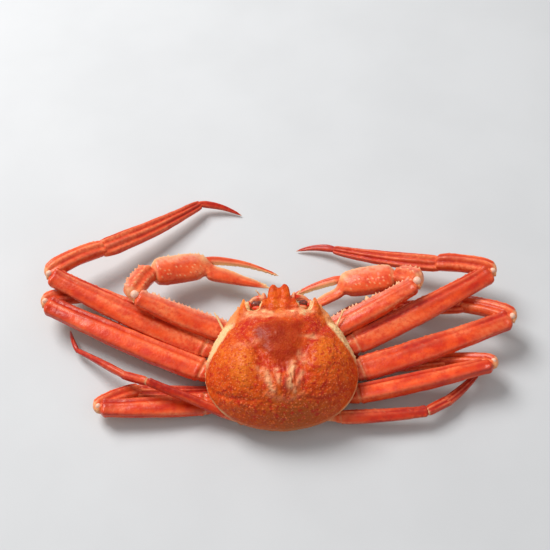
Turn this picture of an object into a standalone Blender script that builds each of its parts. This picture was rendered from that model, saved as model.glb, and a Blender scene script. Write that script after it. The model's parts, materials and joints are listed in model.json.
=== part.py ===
"""A whole boiled snow crab lying on its belly, with its legs and claws folded forward.

Metres, +Z up. +Y points to the crab's face and +X to its right side. The origin is the
middle of the flat of its belly, which lies on the table.
"""
import math

import bmesh
import bpy
from mathutils import Vector

MM = 0.001
SIDES = {"left": -1.0, "right": 1.0}
THIN_LEG = 4

# Driving sizes of the shell, in millimetres. Its rim below is scaled to this width.
SHELL_WIDTH = 110.0
SHELL_CENTRE_Y = -5.0
SHELL_FLOOR = 17.5
SHELL_CROWN = 51.0
RIM_THICK = 1.5

# Curvature of the shell: how fast it closes in towards the crown, and how fast it rises
CLOSING = 0.85
RISE_START = 2.5
RISE_END = 0.6
FLAT_SHARE = 0.72

# The beak's two lobes and the spine outside each eye, on the right side: base and tip in
# millimetres, then the radii there
LOBE = ((3.7, 38.0, 39.5), (4.4, 57.2, 39.5), 6.2, 1.3)
LOBE_FLATNESS = 0.7
EYE_SPINE = ((25.2, 36.0, 36.5), (26.6, 47.8, 38.0), 5.2, 0.7)

# Eye hollows and eyes on the right side: centre and radii, in millimetres
HOLLOW = ((15.6, 45.5, 37.5), (6.6, 6.0, 5.0))
EYE = ((16.2, 45.0, 37.6), (4.6, 3.2, 3.3))

# The body under the shell, in millimetres
BODY_HALF_WIDTH = 36.0
BODY_CENTRE_Y = -3.0
BODY_REAR = 40.0
BODY_FRONT = 36.0
BODY_TOP = 16.0
BODY_FULLNESS = 0.55
BODY_NARROWING = 0.0075
BODY_RINGS = 8

# Stub of the body that each limb leaves from, in millimetres
STUB_TOP = 10.5
STUB_ROOT_Z = 8.5
STUB_INSIDE = 16.0
THIN_STUB_INSIDE = 8.0
STUB_OUTSIDE = 3.0
STUB_RADIUS = 6.2
THIN_STUB_RADIUS = 4.2
STUB_FLATNESS = 0.9

# The abdomen flap and the plates over the mouth, in millimetres
FLAP_THICK = 3.2
FLAP_LEVEL = 1.6
MOUTH_COVER_THICK = 3.0
MOUTH_COVER_TOP = (5.6, 41.5, 28.0)
MOUTH_COVER_FOOT = (6.4, 36.5, 9.0)
MOUTH_COVER = [(0, 0), (0.05, 3.2), (0.4, 4.6), (0.8, 4.8), (0.96, 3.4), (1, 0)]

# Clearance between neighbouring pieces, in millimetres
GAP = 0.35

# How far the broad faces of the limbs tip to the rear, in degrees
CLAW_TILT = 18
LEG_TILT = 14

# Colours and finish of the boiled shell
ORANGE = (0.78, 0.16, 0.035)
SCARLET = (0.66, 0.06, 0.03)
CREAM = (0.86, 0.56, 0.32)
EYE_BROWN = (0.12, 0.05, 0.03)
SHELL_ROUGHNESS = 0.35
EYE_ROUGHNESS = 0.15

# Outline of the shell's rim on the right side, from the rear to the front: x, y, height
RIM = [
    (0, -49, 17),
    (18, -46.6, 17.5),
    (30, -43, 18.5),
    (40, -37.5, 20),
    (48.5, -29, 21.5),
    (53, -21, 23),
    (55, -12, 24),
    (54.5, 1.5, 24.5),
    (52, 9.5, 25.5),
    (45.5, 22.8, 28),
    (41, 28.6, 30),
    (36, 36, 33),
    (29, 42, 36.5),
    (15, 44.5, 38),
    (0, 46, 39),
]

# Share of the relief that a point has for each share of the dome's rise
RELIEF_GROWTH = 2.2

# Raised and sunken regions of the shell's back: x, y, radius across, radius along, height
REGIONS = [
    (0, 14, 20, 13, 2.6),
    (30, -10, 15, 19, 4.2),
    (-30, -10, 15, 19, 4.2),
    (0, -25, 7, 8, 2.6),
    (15, -8, 6, 14, -2.6),
    (-15, -8, 6, 14, -2.6),
    (0, -11, 9, 5, -2.2),
    (0, 37, 20, 7, -3.2),
    (30, 27, 9, 11, -3.0),
    (-30, 27, 9, 11, -3.0),
    (0, -38, 9, 7, -1.5),
]

# Middle line of the abdomen flap, from the rear of the shell to its tip, with its half width
FLAP = [
    ((0, -38.0, 13.4), 10),
    ((0, -40.6, 13.6), 13),
    ((0, -44.0, 12.0), 16),
    ((0, -45.0, 8.0), 17.5),
    ((0, -43.0, 3.8), 18),
    ((0, -38.0, 1.9), 16.5),
    ((0, -30.0, 1.6), 12.5),
    ((0, -12.0, 1.6), 8.5),
    ((0, 6.0, 1.6), 5.5),
    ((0, 13.0, 1.6), 3.2),
    ((0, 14.5, 1.6), 2.0),
]

# Girth along each kind of limb segment: share of its length, half width, half thickness
MERUS = [
    (0.0, 0, 0),
    (0.012, 0.42, 0.55),
    (0.07, 0.58, 0.78),
    (0.13, 0.82, 0.92),
    (0.22, 1.0, 1.0),
    (0.45, 0.98, 1.0),
    (0.7, 0.89, 0.95),
    (0.9, 0.78, 0.84),
    (0.985, 0.64, 0.66),
    (1.0, 0, 0),
]
CARPUS = [
    (0.0, 0, 0),
    (0.06, 0.66, 0.78),
    (0.22, 0.95, 1.05),
    (0.5, 0.98, 1.0),
    (0.78, 1.0, 1.0),
    (0.95, 0.84, 0.84),
    (1.0, 0, 0),
]
PROPODUS = [
    (0.0, 0, 0),
    (0.02, 0.7, 0.7),
    (0.1, 1.06, 0.98),
    (0.3, 1.04, 1.0),
    (0.5, 0.94, 0.92),
    (0.77, 0.72, 0.76),
    (0.985, 0.5, 0.56),
    (1.0, 0, 0),
]
DACTYL = [
    (0.0, 0, 0),
    (0.03, 0.7, 0.8),
    (0.2, 1.0, 1.0),
    (0.55, 0.72, 0.78),
    (0.85, 0.36, 0.4),
    (1.0, 0, 0),
]
PALM = [
    (0.0, 0, 0),
    (0.03, 0.58, 0.66),
    (0.12, 0.88, 0.9),
    (0.3, 1.0, 1.0),
    (0.6, 1.0, 1.0),
    (0.84, 0.94, 0.9),
    (0.97, 0.76, 0.74),
]
FIXED_FINGER = [
    (0.08, 0.46, 0.52),
    (0.3, 0.4, 0.44),
    (0.55, 0.32, 0.35),
    (0.8, 0.2, 0.22),
    (0.94, 0.1, 0.12),
    (1.0, 0, 0),
]

# Half width and half thickness of each limb's segments, in millimetres
LEG_GIRTHS = {
    1: [(9.3, 5.6), (6.8, 5.2), (6.0, 4.0), (3.0, 2.5)],
    2: [(9.6, 5.7), (6.8, 5.2), (5.8, 3.8), (3.0, 2.4)],
    3: [(8.2, 5.1), (6.2, 4.7), (5.2, 3.4), (2.7, 2.2)],
    4: [(4.8, 3.3), (3.7, 3.0), (3.3, 2.6), (1.9, 1.7)],
}
# A propodus that shows its broad face
BROAD_PROPODUS = {("left", 1): (7.1, 4.2)}
CLAW_GIRTHS = [(8.5, 6.0), (8.0, 6.8), (11.0, 7.6), (3.4, 3.0)]
CLAW_NAMES = ["merus", "carpus"]
LEG_NAMES = ["merus", "carpus", "propodus", "dactyl"]

# Offsets of the two fingers from the middle of the palm's end, in millimetres
FIXED_FINGER_DROP = 4.8
LOOSE_FINGER_RISE = 4.6
LOOSE_FINGER_SEAT = 3.5

# Where each limb leaves the body, as x on the right side, y and z, in millimetres
CLAW_HIP = (30, 27.5, 16)
LEG_HIPS = {
    ("left", 1): (37, 14, 10.5),
    ("right", 1): (37, 14, 11),
    ("left", 2): (38, -5, 10.5),
    ("right", 2): (38, -5, 10.5),
    ("left", 3): (38, -20.5, 6.8),
    ("right", 3): (37, -22, 10),
    ("left", 4): (31, -36.3, 10.0),
    ("right", 4): (30, -37, 11),
}

# Each segment of a limb: length in millimetres, swing forward from straight out, and climb,
# both in degrees
CLAWS = {
    "left": [(87, 19.2, 13.1), (30, 113, -18.5), (44, 167, -9), (52, 195, -7)],
    "right": [(86, 23, 13.4), (21, 141, -28), (43, 182, -9.3), (50, 206, -10)],
}
LOOSE_FINGERS = {"left": (62, 190, -7), "right": (56, 197, -10)}
LEGS = {
    ("left", 1): [(156, 25.3, 7.6), (48, 146, -8), (93, 145, -9), (35, 191, -13)],
    ("right", 1): [(143, 23.8, 8.3), (43, 162, -10), (85, 162, -10), (30, 171, -14)],
    ("left", 2): [(156, 24.5, 4.6), (43, 160, -17), (77, 200, -5), (28, 184, -3)],
    ("right", 2): [(144, 15.2, 6.2), (40, 150, -17), (77, 174.5, -7), (28, 200, -6)],
    ("left", 3): [(97, -2.9, 3.8), (34, 150, -14), (55, 180, -2), (26, 95, -1)],
    ("right", 3): [(122, 8.8, 6.1), (39, 163, -23), (60, 182, -3), (26, 128, -5.5)],
    ("left", 4): [(72, 20.5, 13.4), (20, 26, -19), (50, 36, -14), (22, 68, -14)],
    ("right", 4): [(74, 1.4, 0.8), (17, 27, -3), (34, 41, -6), (21, 52, -14)],
}

# How far each kind of segment bows to its outer edge, as a share of its length
BOW = {"merus": -0.015, "carpus": 0.05, "propodus": -0.02, "dactyl": 0.07, "finger": 0.07}
STRAIGHT_FOLD = 90

# Columns and rings of faces in each kind of piece
SHELL_COLUMNS = 48
SHELL_RINGS = 22
SHELL_UNDER_RINGS = 5
BODY_COLUMNS = 24
SPIKE_COLUMNS = 10
MOUTH_COVER_COLUMNS = 10
FLAP_COLUMNS = 12
COLUMNS = {"merus": 10, "carpus": 10, "propodus": 8, "dactyl": 8, "palm": 12, "finger": 8}


def clear_scene():
    for thing in list(bpy.data.objects):
        bpy.data.objects.remove(thing)


def make_material(name, colour, roughness):
    """A Principled BSDF of one colour."""
    material = bpy.data.materials.new(name)
    material.use_nodes = True
    shader = material.node_tree.nodes["Principled BSDF"]
    shader.inputs["Base Color"].default_value = (*colour, 1.0)
    shader.inputs["Roughness"].default_value = roughness
    shader.inputs["Metallic"].default_value = 0.0
    return material


def make_collection(name):
    collection = bpy.data.collections.new(name)
    bpy.context.scene.collection.children.link(collection)
    return collection


def add_object(name, shape, material, collection):
    """Turns a bmesh, in millimetres, into a smooth object in metres."""
    bmesh.ops.scale(shape, vec=(MM, MM, MM), verts=shape.verts)
    bmesh.ops.recalc_face_normals(shape, faces=shape.faces)
    mesh = bpy.data.meshes.new(name)
    shape.to_mesh(mesh)
    shape.free()
    mesh.shade_smooth()
    thing = bpy.data.objects.new(name, mesh)
    collection.objects.link(thing)
    if material is not None:
        mesh.materials.append(material)
    return thing


def stretched_sphere(columns, rings, place):
    """A UV sphere whose every vertex is moved to place(ring, angle). The poles are the first and
    last rings."""
    shape = bmesh.new()
    bmesh.ops.create_uvsphere(shape, u_segments=columns, v_segments=rings, radius=1.0)
    for vertex in shape.verts:
        x, y, z = vertex.co
        ring = round(math.acos(max(-1.0, min(1.0, -z))) / math.pi * rings)
        vertex.co = place(ring, math.atan2(y, x))
    return shape


def tube(stations, columns, grow=0.0, flat=1.0):
    """A closed tube with round ends. Each station is its centre, the directions across and
    through it, and its half width and half thickness. Over 1, flat levels its two broad sides."""
    last = len(stations) - 1

    def place(ring, angle):
        centre, across, through, half_width, half_thick = stations[ring]
        if ring in (0, last):
            inward = stations[1][0] if ring == 0 else stations[last - 1][0]
            return centre + (centre - inward).normalized() * grow
        wide = across * (half_width + grow) * math.cos(angle)
        level = max(-1.0, min(1.0, flat * math.sin(angle)))
        thick = through * (half_thick + grow) * level
        return centre + wide + thick

    return stretched_sphere(columns, last, place)


def heading(side, swing, climb):
    """Unit vector that points out from the body on that side, swung forward and raised."""
    flat = math.cos(math.radians(climb))
    return Vector(
        (
            SIDES[side] * flat * math.cos(math.radians(swing)),
            flat * math.sin(math.radians(swing)),
            math.sin(math.radians(climb)),
        )
    )


def limb_frames(side, hip, segments, tilt):
    """Start, direction, across and through of each segment. Across lies in the plane in which
    the limb folds, tipped by tilt degrees, and points to the limb's front edge."""
    start = Vector(hip)
    directions = [heading(side, swing, climb) for _, swing, climb in segments]
    through = directions[0].cross(directions[1])
    if through.z < 0:
        through = -through
    through = (through.normalized() + Vector((0, -math.tan(math.radians(tilt)), 0))).normalized()
    frames = []
    for (length, _, _), along in zip(segments, directions):
        across = through.cross(along).normalized()
        if across.y < 0:
            across = -across
        frames.append((start, along, across, along.cross(across).normalized(), length))
        start = start + along * length
    return frames


def segment_stations(kind, frame, girth, profile, bow):
    """Stations of one limb segment, bowed to its front edge."""
    start, along, across, through, length = frame
    stations = []
    for share, wide, thick in profile:
        arch = bow * length * 4.0 * share * (1.0 - share)
        centre = start + along * (share * length) + across * arch
        stations.append((centre, across, through, wide * girth[0], thick * girth[1]))
    return stations


def cut_with(thing, cutter_shape, cutters):
    """Cuts the grown shape of a neighbour out of an object."""
    cutter = add_object(thing.name + "_clearance", cutter_shape, None, cutters)
    cutter.hide_render = True
    cutter.display_type = "WIRE"
    cut = thing.modifiers.new("clearance", "BOOLEAN")
    cut.operation = "DIFFERENCE"
    cut.solver = "EXACT"
    cut.object = cutter


def limb_segments(names, frames, girths, segments):
    """Kind and stations of each segment. A segment that folds back over the last one bows."""
    profiles = {"merus": MERUS, "carpus": CARPUS, "propodus": PROPODUS, "dactyl": DACTYL}
    made = []
    for index, kind in enumerate(names):
        fold = segments[index][1] - segments[index - 1][1] if kind == "carpus" else 180
        bow = BOW[kind] if fold > STRAIGHT_FOLD else 0.0
        made.append((kind, segment_stations(kind, frames[index], girths[index], profiles[kind], bow)))
    return made


def palm_stations(frame, finger_frame):
    """The palm, which runs on into its fixed finger."""
    start, along, across, through, length = frame
    half_width, half_thick = CLAW_GIRTHS[2]
    stations = []
    for share, wide, thick in PALM:
        centre = start + along * (share * length)
        stations.append((centre, across, through, wide * half_width, thick * half_thick))
    root = start + along * length - across * FIXED_FINGER_DROP
    _, finger_along, finger_across, _, finger_length = finger_frame
    for share, wide, thick in FIXED_FINGER:
        centre = root + finger_along * (share * finger_length)
        stations.append((centre, finger_across, through, wide * half_width, thick * half_thick))
    return stations


def claw_segments(side):
    """Kind and stations of a claw arm's four segments."""
    hip = mirrored(CLAW_HIP, SIDES[side])
    frames = limb_frames(side, hip, CLAWS[side], CLAW_TILT)
    made = limb_segments(CLAW_NAMES, frames, CLAW_GIRTHS, CLAWS[side])
    made.append(("palm", palm_stations(frames[2], frames[3])))
    palm_start, palm_along, palm_across, palm_through, palm_length = frames[2]
    length, swing, climb = LOOSE_FINGERS[side]
    along = heading(side, swing, climb)
    across = palm_through.cross(along).normalized()
    if across.dot(palm_across) < 0:
        across = -across
    start = palm_start + palm_along * (palm_length - LOOSE_FINGER_SEAT) + palm_across * LOOSE_FINGER_RISE
    finger = (start, along, across, palm_through, length)
    made.append(("finger", segment_stations("finger", finger, CLAW_GIRTHS[3], DACTYL, BOW["finger"])))
    return made


def leg_segments(side, number):
    """Kind and stations of a walking leg's four segments."""
    hip = mirrored(LEG_HIPS[side, number], SIDES[side])
    frames = limb_frames(side, hip, LEGS[side, number], LEG_TILT)
    girths = list(LEG_GIRTHS[number])
    girths[2] = BROAD_PROPODUS.get((side, number), girths[2])
    return limb_segments(LEG_NAMES, frames, girths, LEGS[side, number])


def build_limb(name, segments, materials, parts, cutters):
    """One object for each segment. Each is cut back where the next one is seated in it."""
    for index, (kind, stations) in enumerate(segments):
        shade = materials["orange"] if index < 2 else materials["scarlet"]
        shape = tube(stations, COLUMNS[kind])
        segment = add_object(f"{name}_{kind}", shape, shade, parts)
        if index + 1 < len(segments):
            next_kind, next_stations = segments[index + 1]
            cut_with(segment, tube(next_stations, COLUMNS[next_kind], GAP), cutters)


def rim_point(angle):
    """Point of the shell's rim in that direction from the shell's centre."""
    turn = math.atan2(math.sin(angle), abs(math.cos(angle)))
    scale = SHELL_WIDTH / 2 / max(x for x, _, _ in RIM)
    corners = [Vector((x * scale, y, z)) for x, y, z in RIM]
    turns = [math.atan2(corner.y - SHELL_CENTRE_Y, corner.x) for corner in corners]
    index = 0
    while index < len(corners) - 2 and turn > turns[index + 1]:
        index += 1
    share = (turn - turns[index]) / (turns[index + 1] - turns[index])
    point = corners[index].lerp(corners[index + 1], share)
    if math.cos(angle) < 0:
        point.x = -point.x
    return point


def back_relief(x, y):
    """Height that the named regions add to the shell's back."""
    total = 0.0
    for centre_x, centre_y, across, along, height in REGIONS:
        reach = ((x - centre_x) / across) ** 2 + ((y - centre_y) / along) ** 2
        total += height * math.exp(-reach)
    return total


def shell_shape():
    """The domed shell, from a flat underside out to its rim and up over the back."""
    centre = Vector((0, SHELL_CENTRE_Y, 0))

    def place(ring, angle):
        rim = rim_point(angle)
        if ring <= SHELL_UNDER_RINGS:
            reach = ring / SHELL_UNDER_RINGS
            point = centre.lerp(rim, reach)
            rise = max(0.0, (reach - FLAT_SHARE) / (1.0 - FLAT_SHARE))
            point.z = SHELL_FLOOR + (rim.z - RIM_THICK - SHELL_FLOOR) * rise
            return point
        share = (ring - SHELL_UNDER_RINGS) / (SHELL_RINGS - SHELL_UNDER_RINGS)
        reach = math.cos(share * math.pi / 2) ** CLOSING
        point = centre.lerp(rim, reach)
        dome = (1.0 - reach**RISE_START) ** RISE_END
        point.z = rim.z + (SHELL_CROWN - rim.z) * dome
        point.z += back_relief(point.x, point.y) * min(1.0, RELIEF_GROWTH * dome)
        return point

    return stretched_sphere(SHELL_COLUMNS, SHELL_RINGS, place)


def mirrored(point, out):
    """A point of the right side, or its mirror image on the left."""
    return Vector((out * point[0], point[1], point[2]))


def cone_between(base, tip, base_radius, tip_radius, flatness):
    """A closed cone from base to tip, flattened from above."""
    shape = bmesh.new()
    axis = tip - base
    bmesh.ops.create_cone(
        shape,
        cap_ends=True,
        segments=SPIKE_COLUMNS,
        radius1=base_radius,
        radius2=tip_radius,
        depth=axis.length,
    )
    turn = axis.to_track_quat("Z", "X").to_matrix()
    middle = (base + tip) / 2
    for vertex in shape.verts:
        moved = turn @ vertex.co
        moved.z *= flatness
        vertex.co = moved + middle
    return shape


def ellipsoid(centre, radii):
    shape = bmesh.new()
    bmesh.ops.create_uvsphere(shape, u_segments=12, v_segments=8, radius=1.0)
    bmesh.ops.scale(shape, vec=radii, verts=shape.verts)
    bmesh.ops.translate(shape, vec=centre, verts=shape.verts)
    return shape


def join_with(thing, collection):
    """Joins a collection's objects into an object, applies it, and removes them."""
    union = thing.modifiers.new("union", "BOOLEAN")
    union.operation = "UNION"
    union.solver = "EXACT"
    union.operand_type = "COLLECTION"
    union.collection = collection
    depsgraph = bpy.context.evaluated_depsgraph_get()
    joined = bpy.data.meshes.new_from_object(thing.evaluated_get(depsgraph))
    thing.modifiers.remove(union)
    thing.data = joined
    thing.data.shade_smooth()
    for extra in list(collection.objects):
        bpy.data.objects.remove(extra)
    bpy.data.collections.remove(collection)


def build_shell(materials, parts, cutters):
    """The shell with its two beak lobes and its two eye-corner spines."""
    shell = add_object("carapace", shell_shape(), materials["orange"], parts)
    spikes = make_collection("shell_spikes")
    for side, out in SIDES.items():
        for name, (base, tip, base_radius, tip_radius), flatness in (
            ("lobe", LOBE, LOBE_FLATNESS),
            ("spine", EYE_SPINE, 1.0),
        ):
            ends = mirrored(base, out), mirrored(tip, out)
            spike = cone_between(*ends, base_radius, tip_radius, flatness)
            add_object(f"{name}_{side}", spike, materials["orange"], spikes)
    join_with(shell, spikes)
    for out in SIDES.values():
        cut_with(shell, ellipsoid(mirrored(HOLLOW[0], out), HOLLOW[1]), cutters)


def build_eyes(materials, parts):
    """Eyes on short stalks, lying in the hollows beside the beak."""
    for side, out in SIDES.items():
        add_object(f"eye_{side}", ellipsoid(mirrored(EYE[0], out), EYE[1]), materials["eye"], parts)


def body_shape():
    """The body between the limbs, flat below and on top, and narrower to the front."""

    def place(ring, angle):
        share = ring / BODY_RINGS
        reach = math.sin(share * math.pi) ** BODY_FULLNESS
        half_length = BODY_REAR if math.sin(angle) < 0 else BODY_FRONT
        y = BODY_CENTRE_Y + half_length * reach * math.sin(angle)
        narrowing = 1.0 - BODY_NARROWING * max(0.0, y - SHELL_CENTRE_Y)
        x = BODY_HALF_WIDTH * reach * math.cos(angle) * narrowing
        height = 0.5 - 0.75 * math.cos(share * math.pi)
        return Vector((x, y, BODY_TOP * max(0.0, min(1.0, height))))

    return stretched_sphere(BODY_COLUMNS, BODY_RINGS, place)


def stub_shape(out, hip, along, radius, inside=STUB_INSIDE):
    """The short root that a limb is seated in."""
    at = mirrored((hip[0], hip[1], min(hip[2], STUB_TOP)), out)
    root = at - along * inside
    root.z = STUB_ROOT_Z
    return cone_between(root, at + along * STUB_OUTSIDE, radius + 1.0, radius - 0.6, STUB_FLATNESS)


def build_body(materials, parts):
    """The body with a stub for each limb."""
    body = add_object("thorax", body_shape(), materials["cream"], parts)
    stubs = make_collection("hip_stubs")
    for side, out in SIDES.items():
        level = heading(side, CLAWS[side][0][1], 0)
        add_object("claw_stub", stub_shape(out, CLAW_HIP, level, STUB_RADIUS), None, stubs)
        for number in LEG_GIRTHS:
            radius = THIN_STUB_RADIUS if number == THIN_LEG else STUB_RADIUS
            level = heading(side, LEGS[side, number][0][1], 0)
            inside = THIN_STUB_INSIDE if number == THIN_LEG else STUB_INSIDE
            stub = stub_shape(out, LEG_HIPS[side, number], level, radius, inside)
            add_object(f"leg_{number}_stub", stub, None, stubs)
    join_with(body, stubs)
    return body


def flap_stations():
    """The abdomen flap, folded from the rear of the shell down and forward under the belly."""
    path = [Vector(point) for point, _ in FLAP]
    stations = []
    for index, (_, half_width) in enumerate(FLAP):
        before = path[max(0, index - 1)]
        after = path[min(len(path) - 1, index + 1)]
        across = Vector((1, 0, 0))
        through = (after - before).normalized().cross(across)
        stations.append((path[index], across, through, half_width, FLAP_THICK / 2))
    return stations


def mouth_cover_stations(out):
    """One of the two plates that close the mouth, standing under the beak."""
    top, foot = mirrored(MOUTH_COVER_TOP, out), mirrored(MOUTH_COVER_FOOT, out)
    across = Vector((1, 0, 0))
    through = (foot - top).normalized().cross(across)
    half_thick = MOUTH_COVER_THICK / 2
    return [(top.lerp(foot, share), across, through, wide, half_thick) for share, wide in MOUTH_COVER]


def build_scene():
    clear_scene()
    materials = {
        "orange": make_material("boiled_orange", ORANGE, SHELL_ROUGHNESS),
        "scarlet": make_material("boiled_scarlet", SCARLET, SHELL_ROUGHNESS),
        "cream": make_material("pale_underside", CREAM, SHELL_ROUGHNESS),
        "eye": make_material("eye_brown", EYE_BROWN, EYE_ROUGHNESS),
    }
    parts = make_collection("boiled_crab")
    cutters = make_collection("clearances")
    build_shell(materials, parts, cutters)
    build_eyes(materials, parts)
    body = build_body(materials, parts)
    add_object("abdomen", tube(flap_stations(), FLAP_COLUMNS, 0.0, FLAP_LEVEL), materials["cream"], parts)
    cut_with(body, tube(flap_stations(), FLAP_COLUMNS, GAP, FLAP_LEVEL), cutters)
    for side, out in SIDES.items():
        cover = tube(mouth_cover_stations(out), MOUTH_COVER_COLUMNS)
        add_object(f"mouth_cover_{side}", cover, materials["cream"], parts)
        limbs = {f"claw_{side}": claw_segments(side)}
        for number in LEG_GIRTHS:
            limbs[f"leg_{number}_{side}"] = leg_segments(side, number)
        for name, segments in limbs.items():
            build_limb(name, segments, materials, parts, cutters)
            cut_with(body, tube(segments[0][1], COLUMNS["merus"], GAP), cutters)


build_scene()
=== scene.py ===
"""A whole boiled snow crab that lies on its belly, with its legs and claws folded forward.

The sizes here are in millimetres and the pieces are in metres, +Z up. +Y points to the crab's
face and +X to its right side. Each piece is a skin of its own with its relief in the mesh, and
marks on its points tell the finishes where the shell is pale, deep red, warm or smooth, and
where shade and highlights are painted into its colour.
"""
import json
import math

import bmesh
import bpy
import numpy as np
from bpy.props import FloatProperty, FloatVectorProperty, PointerProperty
from mathutils import Matrix, Vector

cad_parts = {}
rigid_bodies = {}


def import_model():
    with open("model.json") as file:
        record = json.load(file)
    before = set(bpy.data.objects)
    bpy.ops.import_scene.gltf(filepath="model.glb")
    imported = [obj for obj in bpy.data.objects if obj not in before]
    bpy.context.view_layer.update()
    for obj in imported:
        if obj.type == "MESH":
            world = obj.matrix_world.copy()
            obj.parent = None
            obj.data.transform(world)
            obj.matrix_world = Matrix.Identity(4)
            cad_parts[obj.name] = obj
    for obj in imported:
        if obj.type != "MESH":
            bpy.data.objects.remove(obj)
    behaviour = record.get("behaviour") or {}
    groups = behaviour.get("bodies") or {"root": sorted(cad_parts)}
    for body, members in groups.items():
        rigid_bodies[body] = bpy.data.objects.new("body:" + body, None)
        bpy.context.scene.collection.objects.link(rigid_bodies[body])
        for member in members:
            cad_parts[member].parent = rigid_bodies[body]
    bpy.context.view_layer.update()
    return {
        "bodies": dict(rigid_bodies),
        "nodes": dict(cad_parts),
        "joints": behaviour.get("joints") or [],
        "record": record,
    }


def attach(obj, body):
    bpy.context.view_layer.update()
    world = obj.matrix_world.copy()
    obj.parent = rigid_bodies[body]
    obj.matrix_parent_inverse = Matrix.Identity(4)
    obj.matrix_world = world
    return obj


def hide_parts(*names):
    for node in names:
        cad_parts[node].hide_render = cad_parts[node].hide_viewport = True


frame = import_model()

bl_info = {
    "name": "Boiled Snow Crab",
    "version": (1, 0, 0),
    "blender": (4, 5, 0),
    "location": "3D View > Sidebar > Crab",
    "description": "Builds a whole boiled crab with its limbs folded forward, on a pale table",
    "category": "Add Mesh",
}

MM = 0.001
BODY = "root"
SIDES = {"left": -1.0, "right": 1.0}
# Large odd numbers that scatter whole numbers evenly, and shifts between them
SCATTER = (73856093, 19349663, 83492791, 2654435)
MIXERS = ((1274126177, 13), (668265263, 15))

# Where a skin is pale, deep red, warm, white or brown, as marks on its points. Some of the deep red and
# brown is painted shade, and some of the white, warm and pale is a painted highlight
MARKS = ("pale", "deep", "warm", "white", "rear")

# Shell: rim, crown and how its skin closes in and rises, as in the solid
SHELL_CENTRE_Y = -5.0
SHELL_FLOOR = 17.5
SHELL_CROWN = 51.0
RIM_THICK = 1.5
CLOSING = 0.85
RISE_START = 2.5
RISE_END = 0.6
FLAT_SHARE = 0.72
UNDER_RISE = 0.8
RELIEF_GROWTH = 2.2
SMOOTHING = 3

# Outline of the shell's rim on the right side, from the rear to the front: x, y, height
RIM = [
    (0, -49, 17), (18, -46.6, 17.5), (30, -43, 18.5), (40, -37.5, 20), (48.5, -29, 21.5),
    (53, -21, 23), (55, -12, 24), (54.5, 1.5, 24.5), (52, 9.5, 25.5), (45.5, 22.8, 28),
    (41, 28.6, 30), (36, 36, 33), (29, 42, 36.5), (15, 44.5, 38), (0, 46, 39),
]

# Raised and sunken regions of the shell's back: x, y, radius across, radius along, height
REGIONS = [
    (0, 14, 20, 13, 2.6), (30, -10, 15, 19, 4.2), (-30, -10, 15, 19, 4.2), (0, -25, 7, 8, 2.6),
    (15, -8, 6, 14, -2.6), (-15, -8, 6, 14, -2.6), (0, -11, 9, 5, -2.2), (0, 37, 20, 7, -3.2),
    (30, 27, 9, 11, -3.0), (-30, 27, 9, 11, -3.0), (0, -38, 9, 7, -1.5),
]

# Spikes of the shell's front on the right side: middle line, radii along it, flatness
SHELL_SPIKES = [
    ([(4.2, 34.0, 39.5), (4.2, 42.0, 40.4), (4.3, 48.5, 40.8), (4.2, 53.6, 41.2), (4.1, 58.4, 41.4)],
     [7.2, 5.6, 4.3, 3.4, 1.9], 0.74),
    ([(0.5, 34.0, 39.0), (0.5, 44.0, 40.0), (0.5, 52.0, 40.6), (0.5, 55.6, 40.6)],
     [5.6, 4.8, 3.4, 1.8], 0.74),
    ([(8.6, 36.0, 39.8), (10.2, 42.0, 40.2), (10.8, 46.6, 40.6)], [5.4, 3.6, 1.5], 0.85),
    ([(25.4, 31.0, 38.2), (26.0, 40.0, 39.2), (26.5, 47.6, 39.2)], [5.6, 3.4, 0.6], 0.95),
    ([(29.0, 34.0, 36.4), (30.8, 43.2, 36.4)], [3.2, 0.6], 0.9),
    ([(24.0, 38.0, 40.4), (23.2, 43.6, 41.6)], [2.4, 0.6], 0.9),
    ([(13.0, 37.0, 42.4), (13.6, 41.0, 43.6)], [2.4, 0.7], 0.9),
]

# Eye hollows and eyes on the right side: centre and radii
HOLLOW = ((19.0, 42.6, 41.4), (5.7, 8.2, 6.4))
EYE = ((16.6, 43.6, 37.6), (4.6, 2.6, 2.4))
EYE_GIRTH = ((-1, 0.8), (-0.4, 0.98), (0.2, 1.0), (1, 0.75))
STALK_ROOT = (12.0, 42.5, 36.4)
STALK_RADII = [2.6, 2.3]

# Pale socket round each eye on the right side: line, radii along it, flatness
SOCKETS = [
    ([(10.5, 43.0, 34.0), (16.5, 45.0, 33.0), (24.0, 41.5, 33.5)], [5.0, 5.6, 4.2], 0.7),
    ([(8.6, 46.5, 36.0), (12.8, 49.2, 36.4), (18.0, 49.4, 35.6), (23.0, 45.2, 35.0)],
     [2.6, 2.5, 2.0, 1.4], 0.9),
    ([(10.6, 47.0, 37.2), (11.6, 52.6, 39.0)], [2.2, 1.3], 0.9),
    ([(21.4, 41.0, 36.6), (23.4, 46.6, 37.4)], [2.2, 1.0], 0.9),
    ([(12.4, 41.4, 37.0), (16.4, 40.3, 37.6), (20.6, 40.4, 37.2)], [1.6, 1.9, 1.4], 0.9),
]

# Where the orange of the back ends over the pale side wall, on the right side: x, y
WALL_EDGE = [(55, -8), (48.5, 4), (42.5, 12), (36.5, 21), (33.0, 28), (30.5, 36), (26, 48)]

# Teeth of the rim: first and last direction in degrees, how many, radii
RIM_TEETH = (-8, 56, 19)
TOOTH_RADII = [1.1, 0.35]

# Unevenness of the back: height, size of the lumps, seed
BACK_LUMPS = [(0.38, 2.8, 8), (0.16, 1.5, 9), (0.5, 7.0, 10)]
GRAIN_SPACING = 2.4
WRINKLE_HEIGHT = 0.45
FOREHEAD_Y = 32
FOREHEAD_HEIGHT = 0.9
BEAK_GRAIN = 0.35

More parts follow.
